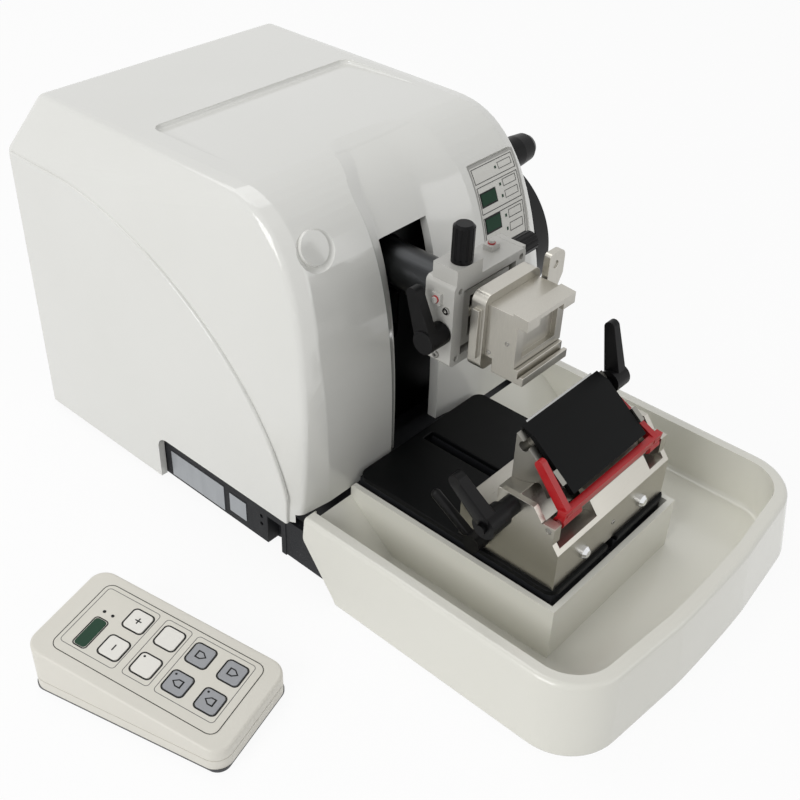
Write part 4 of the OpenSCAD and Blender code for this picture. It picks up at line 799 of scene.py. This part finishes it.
def dress_panel():
    """Frames, blank fields and lamps printed on the panel foil, and its two display windows."""
    border = wall_frame((PANEL_X[0] + 0.6, PANEL_X[1] - 0.6), (PANEL_T[0] + 0.5, PANEL_T[1] - 0.5),
                        BORDER, 0.1)
    seat(border, "panel_foil_border", "panel_foil", print_grey)
    lines = [wall_frame(FRAME_X, turns, FRAME_LINE, 0.14) for turns in PANEL_FRAMES]
    lines += [wall_frame(FIELD_X, (low, low + FIELD_T), FIELD_LINE, 0.14) for low in FIELDS]
    seat(joined(lines), "panel_lines", "panel_foil", print_dark)
    dots = [wall_patch(LAMP_X, (low + 0.7, low + 1.6), FOIL_FACE, FOIL_FACE - 0.2) for low in FIELDS]
    seat(joined(dots), "panel_lamps", "panel_foil", display_green)
    bezels = [wall_patch(BEZEL_X, (low - BEZEL, low + WINDOW_T + BEZEL), FOIL_FACE, FOIL_FACE - 0.2)
              for low in WINDOWS]
    seat(joined(bezels), "panel_display_bezels", "panel_foil", print_dark)
    glass = [wall_patch(WINDOW_X, (low, low + WINDOW_T), FOIL_FACE - 0.1, FOIL_FACE - 0.45)
             for low in WINDOWS]
    seat(joined(glass), "panel_display_windows", "panel_displays", display_green, replaced=True)


dress_panel()


# ---------------------------------------------------------------- small fittings

# Cap screws: node, way their heads point, radius, how proud they stand, places.
SCREWS = (("head_block", "-X", 2.8, 1.7, ((-62, -74, 229), (-62, -67, 189))),
          ("clamp_body", "-X", 1.7, 0.7, ((-49, -119, 216), (-49, -104, 202))),
          ("holder_base", "-Y", 2.0, 0.8, ((-21, -210, 88),)))
# Red rings of the two zero indicators: middle and axis.
INDICATORS = (((0, -63, 254.2), "Z"), ((-65.2, -66, 236.5), "-X"))
INDICATOR_RING = [(0, 2.3), (0, 2.9), (0.8, 2.9), (0.8, 2.3), (0, 2.3)]
# The base's left side and its two plates: from y, to y, from z, to z.
BASE_X, PLATES, PLATE_T = 154, ((73, 140, 8, 34), (46, 66, 13, 32)), 0.6


def socket_screw(place, axis, radius, proud):
    """A cap screw's head with a hexagon socket, its axis pointing out of the face it sits on."""
    head = [(-0.5, 0), (-0.5, radius), (proud, radius), (proud, 0)]
    socket = [(proud - 0.9, 0), (proud - 0.9, radius / 2), (proud + 1, radius / 2), (proud + 1, 0)]
    screw = rounded(turned(head, place, axis, 32), 0.3, 2, 50)
    cut_away(screw, turned(socket, place, axis, 6))
    return screw


def fit_screws():
    """Cap screws of the orientation head, the clamp and the knife holder, and the indicators' rings."""
    for node, axis, radius, proud, places in SCREWS:
        screws = [socket_screw(place, axis, radius, proud) for place in places]
        seat(joined(screws), node + "_screws", node, turned_steel)
    rings = [turned(INDICATOR_RING, middle, axis, 32) for middle, axis in INDICATORS]
    seat(joined(rings), "indicator_marks", "zero_indicators", guard_red)


def fit_plates():
    """Two bare rating plates on the base's left side, in the housing's opening."""
    plates = [block((-BASE_X - PLATE_T, -BASE_X + 0.2), (rear, front), (low, high))
              for rear, front, low, high in PLATES]
    for plate in plates:
        rounded(plate, 0.15, 2)
    seat(joined(plates), "base_side_plates", "base_casting", zinc_sheet)


fit_screws()
fit_plates()


# ---------------------------------------------------------------- studio

# Strength of the sky on the object, and the share of white that the floor shows by itself.
SKY, FLOOR_GLOW = 0.4, 0.92
# The camera: its turns in degrees, its place in the drawing, its sensor in millimetres,
# and its focal length in pixels of the square frame.
VIEW_AZIMUTH, VIEW_ELEVATION, VIEW_ROLL, VIEW_FROM = -49.7, 36.9, 2.4, (-595, -486.7, 654.8)
SENSOR, FOCAL, FRAME_SIDE = 36.0, 1133.3, 800
# Softboxes: name, place, aim, width, height in metres, power in watts.
LAMPS = (("key_softbox", (-2.3, -0.15, 1.5), (0.1, 0.1, 0.15), 1.5, 1.4, 33),
         ("fill_softbox", (0.9, -2.1, 0.9), (0.1, 0.0, 0.15), 1.6, 1.0, 6),
         ("top_softbox", (0.3, 0.9, 2.1), (0.1, 0.1, 0.1), 1.6, 1.4, 11))


def straight_ray(tree, *others):
    """1 where a ray of the camera, or one of the kinds named besides, meets the surface."""
    path = add_node(tree, "ShaderNodeLightPath")
    seen = path.outputs["Is Camera Ray"]
    for kind in others:
        either = add_node(tree, "ShaderNodeMath", {0: seen, 1: path.outputs[kind]}, operation="MAXIMUM")
        seen = either.outputs["Value"]
    return seen


def lay_floor():
    """A matt pale floor that shows white and keeps a soft shadow."""
    bpy.ops.mesh.primitive_plane_add(size=14, location=(0.1, 0.1, 0))
    floor = bpy.context.object
    floor.name = "studio_floor"
    made, tree, surface, _ = start_material("white_floor")
    surface.inputs["Base Color"].default_value = (0.86, 0.86, 0.86, 1)
    surface.inputs["Roughness"].default_value = 0.9
    seen = straight_ray(tree, "Is Glossy Ray", "Is Transmission Ray")
    share = add_node(tree, "ShaderNodeMath", {0: seen, 1: FLOOR_GLOW}, operation="MULTIPLY")
    glow = add_node(tree, "ShaderNodeEmission", {"Color": (1, 1, 1, 1), "Strength": 1.0})
    both = add_node(tree, "ShaderNodeMixShader", {0: share.outputs["Value"], 1: surface.outputs["BSDF"],
                                                  2: glow.outputs["Emission"]})
    tree.links.new(both.outputs["Shader"], tree.nodes["Material Output"].inputs["Surface"])
    floor.data.materials.append(made)


def light_world():
    """A white backdrop, and a dimmer white sky that lights the object."""
    world = bpy.data.worlds.new("studio_world")
    bpy.context.scene.world = world
    world.use_nodes = True
    tree = world.node_tree
    ambient = tree.nodes["Background"]
    ambient.inputs["Color"].default_value = (1, 1, 1, 1)
    ambient.inputs["Strength"].default_value = SKY
    backdrop = add_node(tree, "ShaderNodeBackground", {"Color": (1, 1, 1, 1), "Strength": 1.0})
    seen = straight_ray(tree, "Is Glossy Ray", "Is Transmission Ray")
    both = add_node(tree, "ShaderNodeMixShader", {0: seen, 1: ambient.outputs["Background"],
                                                  2: backdrop.outputs["Background"]})
    tree.links.new(both.outputs["Shader"], tree.nodes["World Output"].inputs["Surface"])


def hang_lamp(name, place, aim, width, height, power):
    """A softbox at a place in metres, turned to what it lights."""
    lamp = bpy.data.lights.new(name, "AREA")
    lamp.shape = "RECTANGLE"
    lamp.size, lamp.size_y, lamp.energy = width, height, power
    holder = bpy.data.objects.new(name, lamp)
    holder.location = place
    holder.rotation_euler = (Vector(aim) - Vector(place)).to_track_quat("-Z", "Y").to_euler()
    bpy.context.scene.collection.objects.link(holder)


def set_camera():
    """The main view: from the front left and above, turned a little about its own axis."""
    azimuth, elevation, roll = (math.radians(turn) for turn in (VIEW_AZIMUTH, VIEW_ELEVATION, VIEW_ROLL))
    back = Vector((math.sin(azimuth) * math.cos(elevation), -math.cos(azimuth) * math.cos(elevation),
                   math.sin(elevation)))
    right = (-back).cross(Vector((0, 0, 1))).normalized()
    up = right.cross(-back)
    right, up = right * math.cos(roll) + up * math.sin(roll), up * math.cos(roll) - right * math.sin(roll)
    lens = bpy.data.cameras.new("main_view")
    lens.sensor_width = SENSOR
    lens.lens = SENSOR * FOCAL / FRAME_SIDE
    camera = bpy.data.objects.new("main_view", lens)
    camera.matrix_world = Matrix.Translation(at(*VIEW_FROM)) @ Matrix((
        (right.x, up.x, back.x), (right.y, up.y, back.y), (right.z, up.z, back.z))).to_4x4()
    bpy.context.scene.collection.objects.link(camera)
    bpy.context.scene.camera = camera


lay_floor()
light_world()
for lamp in LAMPS:
    hang_lamp(*lamp)
set_camera()
bpy.context.scene.view_settings.view_transform = "Standard"
